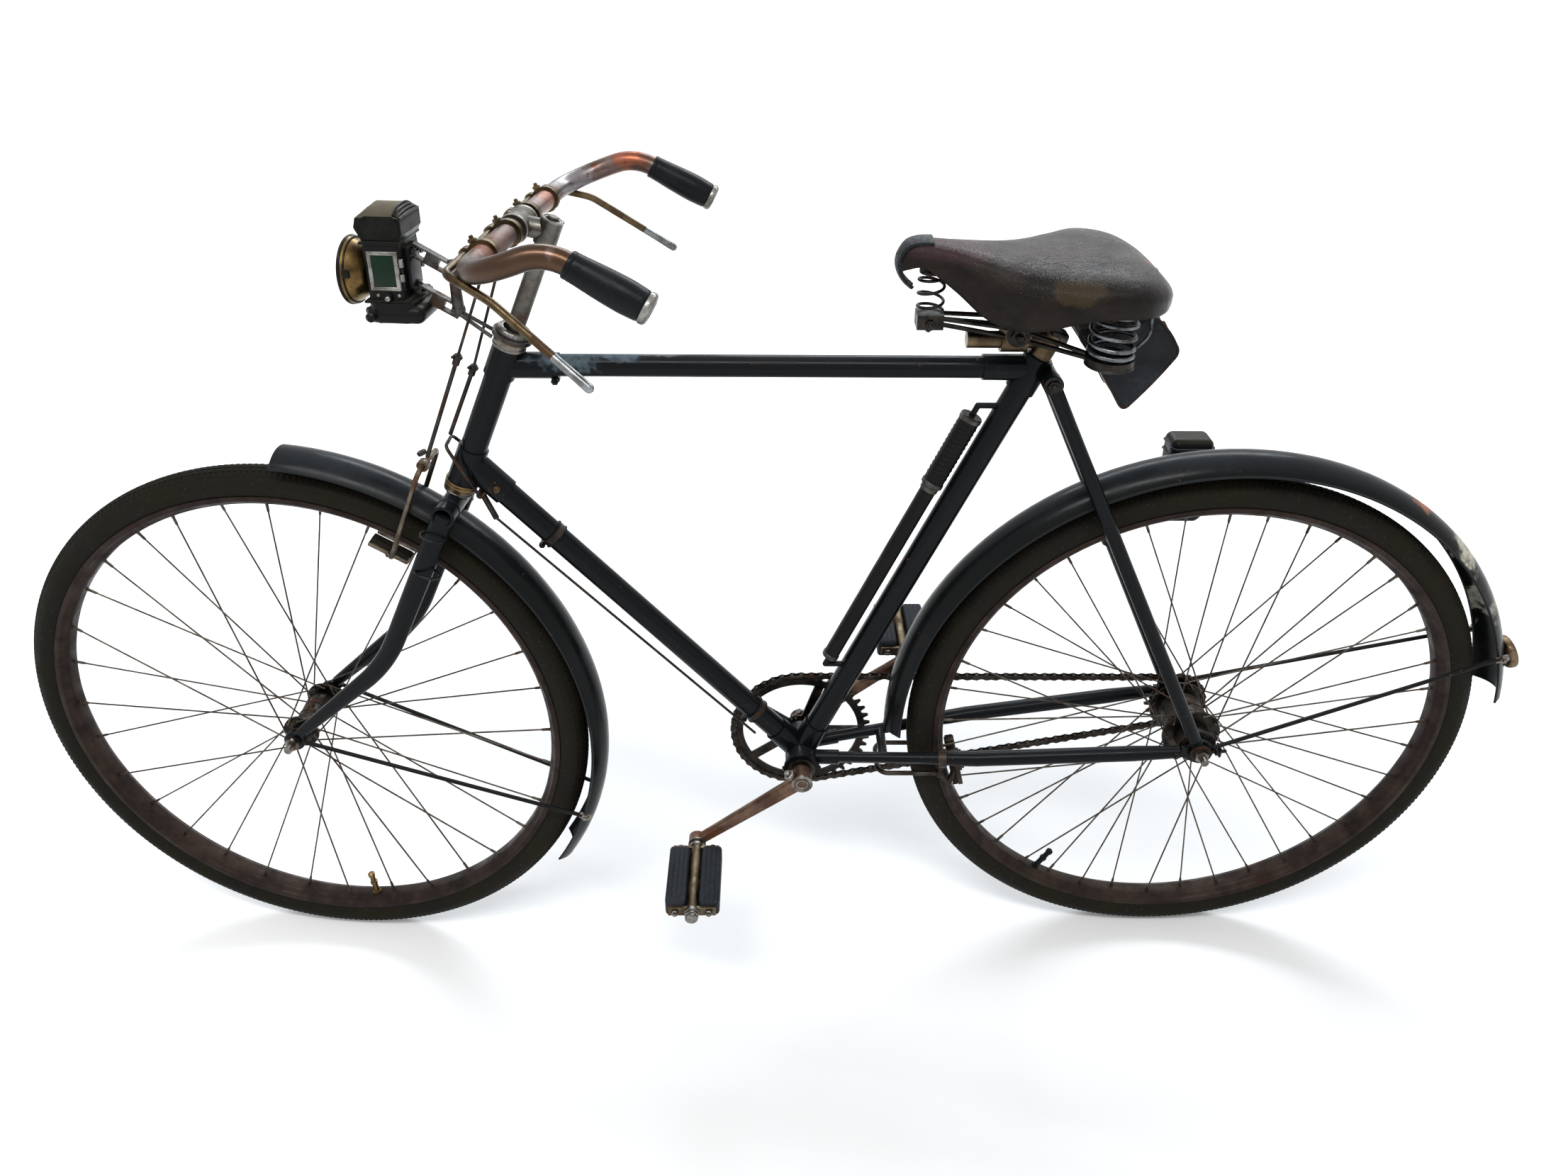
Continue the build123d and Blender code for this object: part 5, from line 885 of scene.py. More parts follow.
blades = Shape()
path = bent_line([BLADE_TOP, BLADE_CORNER, BLADE_END], [190], 0.04)
travelled = [0.0]
for a, b in zip(path, path[1:]):
    travelled.append(travelled[-1] + (b - a).length)
rows = []
for index, point in enumerate(path):
    way = (path[min(index + 1, len(path) - 1)] - path[max(index - 1, 0)]).normalized()
    side = (RIGHT - way * RIGHT.dot(way)).normalized()
    other = way.cross(side)
    deep, wide = between(travelled[index] / travelled[-1], BLADE_HALVES)
    rows.append([point + side * math.cos(a) * wide + other * math.sin(a) * deep for a in (2 * math.pi * k / 32 for k in range(32))])
blades.grid(rows, ends=True)
blades.lathe([(5.2, 0), (12.2, 0), (13, 0.8), (13, 4.2), (12.2, 5), (5.2, 5)], FRONT_HUB + RIGHT * 48.5, RIGHT, 40)
blades.block((-1106, 51, 7), (16, 5, 13), Matrix.Rotation(math.radians(-36), 3, "Y"), 1)
blades.copy_mirrored().done("fork_blades_smooth", fork_enamel, "steering", "frame_enamel", ("fork_blades",), STEERED, 60)


# Saddle, its springs and the tool bag

SADDLE_STATIONS = (
    # x, half width, top, shoulder level, lower edge
    (-400, 9, 614, 607, 598), (-390, 16, 626, 616, 604), (-374, 21, 631, 618, 606), (-344, 30, 628.5, 612, 586),
    (-315, 48, 625, 602, 564), (-289, 64, 622, 596, 557), (-262, 80, 621, 594, 562), (-230, 95, 622, 602, 576),
    (-200, 103, 625, 608, 583), (-168, 98, 622, 604, 582), (-145, 80, 612, 598, 582), (-130, 52, 599, 592, 581),
)
SADDLE_HALF = ((0, 0), (0.3, 0.03), (0.58, 0.12), (0.8, 0.32), (0.93, 0.66), (1.0, 1.12))


def blend_rows(rows, per):
    """Rows of numbers with smooth rows put between them."""
    full = [[2 * a - b for a, b in zip(rows[0], rows[1])]] + [list(r) for r in rows] + [[2 * a - b for a, b in zip(rows[-1], rows[-2])]]
    out = []
    for i in range(1, len(full) - 2):
        for step in range(per):
            t = step / per
            out.append([0.5 * ((2 * b) + (c - a) * t + (2 * a - 5 * b + 4 * c - d) * t * t + (3 * b - a - 3 * c + d) * t ** 3)
                        for a, b, c, d in zip(*full[i - 1:i + 3])])
    return out + [list(rows[-1])]


def saddle_finish():
    n = Nodes("saddle_leather")
    n_x, n_z = n.axis(n.coord, 0), n.axis(n.coord, 2)
    cloud = n.noise(16, 6, 0.65, stretch=(0.6, 1, 1))
    colour = n.mix(n.span(cloud, 0.35, 0.65), (0.0055, 0.0040, 0.0032), (0.022, 0.0145, 0.0110))
    up = n.span(n.axis(n.normal, 2), 0.35, 0.95)
    scuffed = n.sum("MULTIPLY", up, n.span(n.noise(34, 6, 0.75, stretch=(0.5, 1, 1)), 0.4, 0.65, 0.05, 0.6))
    colour = n.mix(scuffed, colour, (0.044, 0.038, 0.040))
    nose = n.sum("MULTIPLY", n.spot(row(-350, 0, 625), 0.055, 0.25, 20, (1, 1, 1.3)), n.span(n_z, -0.012, 0.002))
    colour = n.mix(n.sum("MULTIPLY", nose, 0.75), colour, (0.045, 0.020, 0.024))
    for where, radius, stretch, tint, share in (
            ((-232, -84, 606), 0.024, (0.7, 1, 1.9), (0.075, 0.050, 0.020), 0.4),
            ((-232, 84, 606), 0.022, (0.7, 1, 1.9), (0.075, 0.050, 0.020), 0.4),
            ((-150, -18, 609), 0.010, (1, 0.7, 1), (0.22, 0.07, 0.03), 0.7),
            ((-165, -40, 612), 0.008, (1, 1, 1), (0.17, 0.06, 0.035), 0.6),
            ((-240, -4, 622), 0.050, (1, 1, 1), (0.05, 0.035, 0.028), 0.4)):
        mask = n.spot(row(*where), radius, 0.35, 50, stretch)
        colour = n.mix(n.sum("MULTIPLY", mask, share), colour, tint)
    cell = n.new("ShaderNodeTexVoronoi", feature="DISTANCE_TO_EDGE")
    n.put(cell.inputs["Vector"], n.coord)
    n.put(cell.inputs["Scale"], 620)
    grain = n.span(cell.outputs["Distance"], 0.0, 0.25)
    crack = n.new("ShaderNodeTexVoronoi", feature="DISTANCE_TO_EDGE")
    mapping = n.new("ShaderNodeMapping")
    n.put(mapping.inputs["Vector"], n.coord)
    n.put(mapping.inputs["Scale"], (0.35, 1, 1))
    n.put(crack.inputs["Vector"], mapping.outputs[0])
    n.put(crack.inputs["Scale"], 95)
    line = n.sum("MULTIPLY", n.span(crack.outputs["Distance"], 0.035, 0.0), n.span(n.noise(12, 4), 0.5, 0.65))
    colour = n.mix(n.sum("MULTIPLY", line, 0.7), colour, (0.006, 0.004, 0.004))
    height = n.sum("SUBTRACT", n.sum("ADD", n.sum("MULTIPLY", grain, 0.25), n.noise(28, 5)), line)
    n.bump(height, 0.5, 0.0012)
    shine = n.span(n.noise(22, 5, 0.7), 0.3, 0.7, 0.24, 0.42)
    return n.set(Base_Color=colour, Roughness=shine, Specular_IOR_Level=0.12)


def dark_leather(name, base, top, worn):
    n = Nodes(name)
    colour = n.mix(n.span(n.noise(24, 6, 0.65), 0.35, 0.65), base, top)
    crease = n.span(n.noise(9, 6, 0.75, stretch=(1, 0.35, 1), warp=1.2), 0.47, 0.5)
    ridge = n.sum("MULTIPLY", crease, n.span(n.noise(9, 6, 0.75, stretch=(1, 0.35, 1), warp=1.2), 0.53, 0.5))
    colour = n.mix(n.sum("MULTIPLY", ridge, 0.4), colour, worn)
    cell = n.new("ShaderNodeTexVoronoi", feature="DISTANCE_TO_EDGE")
    n.put(cell.inputs["Vector"], n.coord)
    n.put(cell.inputs["Scale"], 480)
    height = n.sum("ADD", n.sum("MULTIPLY", n.span(cell.outputs["Distance"], 0, 0.3), 0.3), n.sum("ADD", ridge, n.noise(30, 5)))
    n.bump(height, 0.55, 0.0012)
    return n.set(Base_Color=colour, Roughness=n.span(n.noise(40, 4), 0.3, 0.7, 0.36, 0.58), Specular_IOR_Level=0.15)


saddle_leather = saddle_finish()
bag_leather = dark_leather("bag_leather", (0.005, 0.0055, 0.0065), (0.014, 0.016, 0.020), (0.05, 0.058, 0.066))
bag_edge = dark_leather("bag_edge", (0.014, 0.008, 0.006), (0.040, 0.020, 0.014), (0.09, 0.055, 0.04))

saddle = Shape()
rows = []
for x, half, top, shoulder, low in blend_rows(SADDLE_STATIONS, 7):
    drop, skirt = top - shoulder, shoulder - low
    side_points = [(half * a, top - drop * b) for a, b in SADDLE_HALF]
    side_points += [(half * 1.0, shoulder - skirt * 0.55), (half * 0.985, low)]
    line = smooth_line([(0, -y, z) for y, z in reversed(side_points[1:])] + [(0, y, z) for y, z in side_points], 3)
    dip = 1.6 * max(0, min(1, (x + 300) / 60)) * max(0, min(1, (-150 - x) / 30))
    rows.append([Vector((x, p.y, p.z - dip * math.exp(-(p.y / 16) ** 2))) for p in line])
saddle.grid(rows, wrap=False)
cover = saddle.done("saddle_leather_cover", [saddle_leather, bag_edge], "frame", "saddle_leather", ("saddle_cover",), angle=70)
thick = cover.modifiers.new("thickness", "SOLIDIFY")
thick.thickness, thick.offset = 0.0042, -1
thick.material_offset_rim = 0

nose = Shape()
hook = smooth_line([(-366, 0, 631.4), (-380, 0, 631.2), (-392, 0, 627), (-399.4, 0, 616), (-401, 0, 606), (-398, 0, 596), (-392, 0, 587),
                    (-384, 0, 580)], 5)
rows = []
for index, point in enumerate(hook):
    share = index / (len(hook) - 1)
    way = (hook[min(index + 1, len(hook) - 1)] - hook[max(index - 1, 0)]).normalized()
    out = RIGHT.cross(way).normalized()
    half = 15 - 8.5 * share if share < 0.98 else 5
    outer = [point - out * (0.6 + 2.2 * (k / 4) ** 2) + RIGHT * half * k / 4 for k in range(-4, 5)]
    inner = [p + out * 3.4 for p in reversed(outer)]
    rows.append([p + out * 0.0 for p in outer] + inner)
nose.grid(rows, ends=True)
nose.done("saddle_nose_strip", bag_leather, "frame", "saddle_leather", (), angle=60)

studs = Shape()
for side in (-1, 1):
    studs.dome((-383, side * 11.5, 623.5), (-0.25, side * 0.65, 0.72), 4.2, 2.2)
for y, x, z in ((0, -132.6, 598), (24, -134.6, 598), (-24, -134.6, 598), (46, -141, 599), (-46, -141, 599), (66, -151, 601), (-66, -151, 601)):
    studs.dome((x, y, z + 1.6), (0.75, y / 150, 0.65), 4.4, 2.0)
studs.done("saddle_rivets", brass, "frame", "saddle_leather")


def coil_line(centre, radius, turns, low, high, steps=20, flat=0.6):
    """A coil's line, with its end turns lying flatter."""
    total = int(turns * steps)
    line = []
    for index in range(total + 1):
        share = index / total
        ease = share + flat * (math.sin(2 * math.pi * share) / (2 * math.pi)) * -0.6
        angle = 2 * math.pi * index / steps
        line.append(Vector((centre[0] + radius * math.cos(angle), centre[1] + radius * math.sin(angle), low + (high - low) * ease)))
    return line


coils = Shape().tube(coil_line((-364, 0), 13.5, 3.1, 555, 594), 1.75, 8)
coils.done("front_spring_coil", rail_steel, "frame", "spring_steel", ("front_spring",), angle=60)
coils = Shape().tube(coil_line((-187, 62), 22, 4.8, 532.6, 581.4, 22), 2.6, 10)
coils.tube(smooth_line([(-168, 56, 588), (-152, 55, 585), (-148.5, 55, 570), (-149, 56, 550), (-160, 58, 537)], 5), 1.8, 8)
coils.copy_mirrored().done("rear_spring_coils", spring_steel, "frame", "spring_steel", ("rear_springs",), angle=60)

under = Shape()
for side in (-1, 1):
    under.nut((-273, side * 27.2, 536), (0, side, 0), 9.4, 7, 4)
    under.lathe([(12.6, 0), (12.6, 1.6), (8, 1.8)], (-273, side * 25, 536), (0, side, 0), 28)
    under.nut((-364, side * 14, 543), (0, side, 0), 5.4, 4, 1.5)
    under.lathe([(24.7, -1), (25.2, -0.4), (25.2, 1), (24, 1.8), (6, 2.0), (5.4, -2), (0, -2)], (-187, side * 62, 521.6), (0, 0, -1), 36)
    under.nut((-187, side * 62, 517.2), (0, 0, -1), 6.4, 4.4, 2)
under.nut((-364, 0, 534.8), (0, 0, -1), 6, 4, 1.5)
under.done("saddle_clamp_nuts", rail_steel, "frame", "spring_steel")

BAG_CORNERS = ((-216, 543), (-154.5, 452), (-103, 522), (-134, 562))


def bag_outline(inset=0.0, ease=10):
    """The bag's rounded outline, seen from the side, as (x, z) points."""
    middle = Vector((sum(x for x, _ in BAG_CORNERS) / 4, sum(z for _, z in BAG_CORNERS) / 4))
    corners = [Vector(c) + (middle - Vector(c)).normalized() * inset for c in BAG_CORNERS]
    points = []
    for index, corner in enumerate(corners):
        before, after = corners[index - 1], corners[(index + 1) % 4]
        a, b = corner + (before - corner).normalized() * ease, corner + (after - corner).normalized() * ease
        for step in range(6):
            t = step / 5
            points.append(a * (1 - t) ** 2 + corner * 2 * t * (1 - t) + b * t ** 2)
        for step in range(1, 6):
            t = step / 6
            far = after + (corner - after).normalized() * ease
            bulge = math.sin(math.pi * t) * (1.2 if index != 0 else -1.5)
            side = Vector(((far - b).y, -(far - b).x)).normalized()
            points.append(b.lerp(far, t) - side * bulge * -1)
    return points


bag = Shape()
rows = []
for y, inset in ((-34, 16), (-34.2, 9), (-33.6, 3.2), (-32, 1.1), (-29, 0.3), (-16, 0.8), (0, 1.4), (16, 0.8), (29, 0.3), (32, 1.1), (33.6, 3.2),
                 (34.2, 9), (34, 16)):
    rows.append([Vector((p.x, y, p.y)) for p in bag_outline(inset)])
bag.grid(rows, ends=True)
for side in (-1, 1):
    bag.tube([Vector((p.x, side * 32.2, p.y)) for p in bag_outline(1.0)], 1.5, 8, slot=1, closed=True)
for y in (-13, 13):
    strap = bag_outline(0.3)[2:40]
    strap_rows = []
    for i, p in enumerate(strap):
        q = strap[min(i + 1, len(strap) - 1)] - strap[max(i - 1, 0)]
        out = Vector((q.y, -q.x)).normalized() * -1
        base = Vector((p.x, 0, p.y))
        outward = Vector((out.x, 0, out.y))
        strap_rows.append([base + outward * 0.3 + RIGHT * (y - 6), base + outward * 2.2 + RIGHT * (y - 5.4),
                           base + outward * 2.2 + RIGHT * (y + 5.4), base + outward * 0.3 + RIGHT * (y + 6)])
    bag.grid(strap_rows, slot=1, ends=True)
    bag.tube([Vector((-164 + 6 * math.cos(a), y, 592.3 + 6 * math.sin(a))) for a in (2 * math.pi * k / 20 for k in range(20))],
             1.6, 8, slot=1, closed=True, squash=2.6)
    bag.block((-154, y, 572), (2.6, 11.5, 44), Matrix.Rotation(-0.49, 3, "Y"), 0.8, slot=1)
    bag.tube([Vector((-117, y, 541)) + Vector((5 * math.cos(a) * 0.6, 7.6 * math.sin(a), -7 * math.cos(a))) for a in
              (2 * math.pi * k / 16 for k in range(16))], 0.9, 6, slot=2, closed=True)
bag.done("tool_bag_leather", [bag_leather, bag_edge, silver], "frame", "bag_leather", ("tool_bag",), angle=50)


# Lamps

lamp = Shape()
ENAMEL, ROOF, CHROME, GLASS, SOOT = range(5)
HOOD = [(-947, 641), (-944, 652), (-932, 663), (-907, 663), (-899, 651), (-899, 635)]
roof_rows = []
for start, end in zip(HOOD, HOOD[1:]):
    for step in range(4):
        roof_rows.append(Vector(start).lerp(Vector(end), step / 4))
roof_rows.append(Vector(HOOD[-1]))
rows = []
for point in roof_rows:
    line = []
    for k in range(-8, 9):
        y = 26.6 * k / 8
        arch = 652.6 + 11 * (1 - (y / 26.6) ** 2)
        line.append(Vector((point.x + (-0.5 if point.x < -930 else 0.5 if point.x > -910 else 0), y, min(point.y + 0.5, arch))))
    rows.append(line)
lamp.grid(rows, slot=ROOF, wrap=False)
for index in range(4):
    t = 0.12 + 0.25 * index
    spot = Vector((-907 + 8.4 * t, 0, 663 - 12 * t))
    arch = [spot + Vector((0.6, 25.6 * k / 6, 0.9 - 8.0 * (abs(k) / 6) ** 2.4 * (1 - t))) for k in range(-6, 7)]
    lamp.tube(arch, 1.25, 8, slot=ENAMEL)
for side in (-1, 1):
    outline = [(-944, 641), (-941, 651), (-934.5, 654.5), (-906, 654.5), (-901.4, 647), (-901.4, 636), (-907, 630.6), (-940, 630.6)]
    middle = Vector((-923, 641))
    rows = []
    for y, k in ((26.0, 1.0), (27.0, 1.0), (27.2, 0.93), (26.3, 0.88), (26.3, 0.3)):
        rows.append([Vector((middle.x + (x - middle.x) * k, side * y, middle.y + (z - middle.y) * k)) for x, z in outline])
    lamp.grid(rows, slot=SOOT if side < 0 else ENAMEL, ends=True)
lamp.block((-923, 0, 627.4), (42, 60, 3.4), ease=1.3, slot=ENAMEL)
lamp.block((-922, 0, 566.6), (47, 64, 3.0), ease=1.3, slot=ENAMEL)
for side in (-1, 1):
    y = side * 28
    for x, z, size in ((-921.5, 617.4, (32, 3.6, 4.6)), (-921.5, 580.4, (32, 3.6, 4.6)), (-935.2, 599, (4.6, 3.6, 38)), (-907.8, 599, (4.6, 3.6, 38))):
        lamp.block((x, y, z), size, ease=1.4, steps=3, slot=CHROME)
    lamp.block((-921.5, side * 28.2, 599), (23, 1.6, 33), ease=0.5, slot=GLASS)
    lamp.rod((-902.6, y, 612), (-902.6, y, 603), 2.3, sides=12, edge=0.6, slot=CHROME)
    lamp.rod((-903.2, y, 596), (-903.2, y, 588), 2.3, sides=12, edge=0.6, slot=CHROME)
    lamp.rod((-919.7, side * 27, 571), (-919.7, side * 33.4, 571), 3.8, sides=14, edge=0.8, slot=ENAMEL)
    lamp.dome((-919.7, side * 33.4, 571), (0, side, 0), 3.0, 1.6, slot=CHROME)
    lamp.dome((-931, side * 28, 573), (0, side, 0), 2.2, 1.3, slot=CHROME)
    lamp.dome((-909, side * 28, 573), (0, side, 0), 2.2, 1.3, slot=CHROME)
lamp.rod((-939, -31, 551.6), (-939, -39, 551.6), 5.2, sides=16, edge=1.6, slot=ENAMEL)
lamp.rod((-945, -18, 553), (-950, -18, 552), 4.4, sides=14, edge=1.2, slot=ENAMEL)
lamp.rod((-938, -14, 545), (-938, -14, 538.6), 4.6, sides=14, edge=1.2, slot=ENAMEL)
lamp.rod((-906, 0, 546), (-906, 0, 539.6), 6.4, sides=18, edge=1.2, slot=ENAMEL)
lamp.block((-901.6, 0, 598), (5.4, 30, 44), ease=1.6, slot=ENAMEL)
lamp.block((-916, 0, 552.4), (62, 66.6, 20), ease=9.4, steps=6, slot=ENAMEL)
lamp.block((-916, 0, 546.4), (56, 62, 3), ease=1.4, slot=ENAMEL)
for z in (578, 618):
    lamp.nut((-898.2, 0, z), (1, 0, 0), 4.6, 3, 1.5, slot=ENAMEL)
lamp.done("lamp_fittings", [lamp_enamel, roof_enamel, silver, plain("green_glass", (0.004, 0.022, 0.010), 0.2), plain("soot_black", (0.006, 0.006, 0.005), 0.7)],
          "steering", "lamp_enamel", (), STEERED, 40)

dish = Shape()
bowl = [(0, 0), (5.4, 0.2), (10, 0.9), (17, 2.6), (21, 5.4), (25, 10.2), (29, 16), (32.4, 21.8), (34.0, 24.6)]
dish.lathe([(r, h) for r, h in bowl], (-942.4, 0, 591), (-1, 0, 0), 56, slot=1)
dish.lathe([(r + 1.6, max(h - 1.2, 0)) for r, h in bowl], (-942.4, 0, 591), (-1, 0, 0), 56, slot=1)
dish.tube([Vector((-967, 34.3 * math.cos(a), 591 + 34.3 * math.sin(a))) for a in (2 * math.pi * k / 64 for k in range(64))], 2.1, 12, closed=True)
dish.tube([Vector((-962, 34.2 * math.cos(a), 591 + 34.2 * math.sin(a))) for a in (2 * math.pi * k / 64 for k in range(64))], 1.0, 8, closed=True)
dish.lathe([(6, 0.6), (6.6, 2.4), (5.6, 5.4), (3, 7), (0, 7.4)], (-942.4, 0, 591), (-1, 0, 0), 24, slot=2)
# Eight dark studs on the dish stand for its holes: painted shade.
for k in range(8):
    a = 2 * math.pi * (k + 0.5) / 8
    dish.rod((-947.4, 20 * math.cos(a), 591 + 20 * math.sin(a)), (-948.4, 20.4 * math.cos(a), 591 + 20.4 * math.sin(a)), 1.6, sides=10, slot=3)
dish.block((-958, -35.5, 597), (7, 3.4, 9), ease=1)
dish.done("lamp_dish", [lamp_enamel, brass, silver, painted_hole_shade], "steering", "lamp_enamel", ("lamp_reflector",), STEERED, 40)

linkage = Shape()
for x, z in ((-879.5, 604), (-878.5, 560)):
    for shift in (-20, 18):
        offset = Vector((shift * math.cos(math.radians(29.6)), 0, -shift * math.sin(math.radians(29.6))))
        linkage.nut(Vector((x, -6.4, z)) + offset * 1.05, (0, -1, 0), 3.4, 2.6, 0.8)
        linkage.nut(Vector((x, 6.4, z)) + offset * 1.05, (0, 1, 0), 3.4, 2.6, 0.8)
linkage.lathe([(6.9, 0), (7.4, 0.8), (7.4, 4), (6.9, 5)], (-859.2, 0, 548), (0, 0, 1), 20)
linkage.dome((-860.5, 0, 602), UP, 5.2, 3.2)
linkage.done("lamp_link_nuts", arm_steel, "steering", "lamp_enamel", (), STEERED)

tail_way = Vector((math.cos(math.radians(16)), 0, math.sin(math.radians(16))))
tail = Shape()
tail.lathe([(0, -0.2), (14, -0.2), (17.5, 0.6), (19.4, 2.6), (20.4, 5), (20.4, 9.4), (19.8, 10.4), (18.6, 10.8), (17.8, 10.0)],
           Vector((3, 0, 0)) + tail_way * 388.3, tail_way, 40)
tail.lathe([(18, 9.8), (15, 10.9), (9, 11.7), (0, 12)], Vector((3, 0, 0)) + tail_way * 388.3, tail_way, 40, slot=1)
tail.done("tail_lamp_cup", [metal("tail_cup", (0.20, 0.145, 0.09), (0.08, 0.05, 0.03), (0.14, 0.055, 0.03), 0.5, 0.45, scale=60),
                            plain("tail_lens", (0.20, 0.045, 0.025), 0.22)], "frame", "reflector_glass", ("tail_reflector",))

rear = Shape()
case_x, case_y, case_z = -25, 91, 305
rear.block((case_x, case_y, case_z - 3), (52, 36, 106), ease=9, steps=4)
for z in (-48, -36, 34, 46):
    rear.tube([Vector((case_x + sx * 26.2, case_y + sy * 18.2, case_z + z)) for sx, sy in ((-0.8, -1), (0.8, -1), (1, -0.7), (1, 0.7), (0.8, 1), (-0.8, 1), (-1, 0.7), (-1, -0.7))],
              1.3, 8, closed=True)
rear.block((case_x, case_y, case_z + 49), (46, 31, 13), ease=6, steps=4, slot=2)
rear.lathe([(17.5, 0), (17.5, 3.4), (16, 4.4), (14.6, 3.6)], (case_x + 25.4, case_y, case_z + 4), (1, 0, 0), 36, slot=1)
rear.lathe([(15, 3), (12, 5.4), (6, 6.6), (0, 7)], (case_x + 25.4, case_y, case_z + 4), (1, 0, 0), 36, slot=3)
rear.nut((case_x - 8, case_y - 17.6, case_z - 35), (0, -1, 0), 6, 4, 2)
# The case's strong blue-grey on upward faces is partly its own colour and partly a painted sheen.
rear_blue = enamel("rear_lamp_enamel", (0.012, 0.016, 0.020), (0.12, 0.155, 0.19), 0.9, 1.0, rough=0.4, spots=(
    (row(-28, 88, 360), 0.014, (0.36, 0.12, 0.09), (0.7, 1, 1)),))
rear.done("rear_lamp_case", [rear_blue, silver, rear_blue, plain("rear_lens", (0.22, 0.03, 0.02), 0.15)], "frame", "lamp_enamel")


# Mudguard edges, bolts and other fittings

def guard_trim(name, body, where, centre, edge_r, crest_r, arc, stay_angle):
    shape = Shape()
    count = 72
    for side in (-1, 1):
        line = []
        for step in range(count + 1):
            a = math.radians(arc[0] + (arc[1] - arc[0]) * step / count)
            line.append(Vector((centre.x + edge_r * math.cos(a), side * 27.6, centre.z + edge_r * math.sin(a))))
        shape.tube(line, 1.5, 8)
        a = math.radians(stay_angle)
        spot = Vector((centre.x + (edge_r + 3) * math.cos(a), side * 30.8, centre.z + (edge_r + 3) * math.sin(a)))
        shape.nut(spot + Vector((0, side * 2.4, 0)), (0, side, 0), 5, 3.4, 1.6, slot=1)
        shape.block(spot, (16, 3, 9), Matrix.Rotation(-a, 3, "Y"), 1.2, slot=1)
    for end in arc:
        a = math.radians(end)
        rim_line = []
        for k in range(-8, 9):
            share = k / 8
            r = crest_r - (crest_r - edge_r) * share ** 2 - 0.8
            rim_line.append(Vector((centre.x + r * math.cos(a), 27.8 * share, centre.z + r * math.sin(a))))
        shape.tube(rim_line, 1.3, 8)
    return shape


guard_trim("rear", "frame", STILL, Vector((3, 0, 0)), 370.5, 388, (8, 181), 19).done(
    "rear_guard_edges", [guard_edge_painted_highlight, nut_steel], "frame", "guard_enamel")
guard_trim("front", "steering", STEERED, FRONT_HUB, 367, 381.2, (-32, 86), -18).done(
    "front_guard_edges", [guard_edge_painted_highlight, nut_steel], "steering", "guard_enamel", (), STEERED)

bolts = Shape()
seat_eye = on_seat_tube(484) + Vector((18.5, 0, 0))
for side in (-1, 1):
    bolts.nut(seat_eye + Vector((0, side * 38.4, 0)), (0, side, 0), 7.4, 5, 2)
    bolts.lathe([(10.6, 0), (10.6, 1.2), (7, 1.6)], seat_eye + Vector((0, side * 36, 0)), (0, side, 0), 28)
    bolts.lathe([(13.6, 0), (13.6, 1.6), (8, 1.7)], (0, side * 63.6, 0), (0, side, 0), 28)
    bolts.nut((-30, side * 64.5, -3), (0, side, 0), 4.6, 3.4, 1.4)
    bolts.rod((6, side * 62.2, 1), (32, side * 62.2, 3.4), 2.2, sides=10, edge=0.5)
    bolts.nut((20, side * 62.2, 2.2), (1, 0, 0.08), 5, 4)
    bolts.block((23.6, side * 59.5, 2.4), (3, 13, 13), None, 0.8)
bolts.done("frame_bolts", rail_steel, "frame", "frame_enamel")

clip = Shape()
for x, r in ((-762.5, 12.3), (-600, 12.3)):
    if x > -700:
        continue
    clip.lathe([(r + 0.1, -5.4), (r + 1.5, -5), (r + 1.5, 5), (r + 0.1, 5.4)], (x, 0, 490), BACK, 36)
    clip.block((x, 0, 474.6), (9, 9, 6), None, 1)
    clip.nut((x, -7.6, 474), (0, -1, 0), 4.4, 3.4, 1.6)
    clip.dome((x, 4.8, 474), (0, 1, 0), 4, 2.6)
down_way = (BRACKET - Vector((-867.9, 0, 373.7))).normalized()
start = Vector((-867.9, 0, 373.7))
for distance in (45, 130, 480):
    spot = start + down_way * distance
    r = 16.2 if distance == 45 else 15.5
    if distance == 45:
        clip.dome(spot + Vector((0, -15.4, 4)), (0, -1, 0.25), 4.6, 2.6, slot=1)
        clip.dome(spot + Vector((0, 15.4, 4)), (0, 1, 0.25), 4.6, 2.6, slot=1)
        continue
    for shift in (-4.6, 4.6):
        clip.lathe([(r, -0.9), (r + 0.9, -0.5), (r + 0.9, 0.5), (r, 0.9)], spot + down_way * shift, down_way, 36)
    below = Vector((down_way.z, 0, -down_way.x))
    clip.nut(spot + below * 19 + Vector((0, -4.6, 0)), (0, -1, 0), 4, 3, 1.4)
clip.done("tube_clips", [frame_enamel, lever_steel], "frame", "frame_enamel")

pump_trim = Shape()
pump_x = -34.3
low, split, high = [on_seat_tube(z) + Vector((pump_x, 0, 0)) for z in (100, 344, 432)]
way = (high - low).normalized()
for base, profile in (
        (low, [(9.4, 0.2), (10.4, 0.6), (10.4, 5), (9.6, 6)]),
        (split, [(9.6, -7), (10.6, -6.4), (10.6, -1), (9.6, -0.4)]),
        (split, [(12, 0.2), (12.9, 0.8), (12.9, 5), (12.1, 6)]),
        (high, [(12.1, -7), (12.9, -6), (12.9, -1.4), (12, -0.6)])):
    pump_trim.lathe(profile, base, way, 32, slot=1)
length = (high - split).length
for step in range(12):
    pump_trim.lathe([(11.9, -1.2), (12.5, -0.5), (12.5, 0.5), (11.9, 1.2)], split + way * (14 + step * (length - 28) / 11), way, 28)
pump_trim.done("pump_rings", [pump_enamel, arm_steel], "frame", "pump_enamel")

post_trim = Shape()
collar = on_seat_tube(502)
post_trim.lathe([(14.4, -2), (17.2, -1.6), (17.2, 0.4), (15.8, 1.2), (12.8, 1.2)], collar, SEAT_WAY, 36)
post_trim.block((-226, 0, 527), (20, 22, 12), Matrix.Rotation(0.25, 3, "Y"), 3, slot=1)
post_trim.done("seat_post_collar", [frame_enamel, arm_steel], "frame", "post_steel")


# Brake blocks and their holders

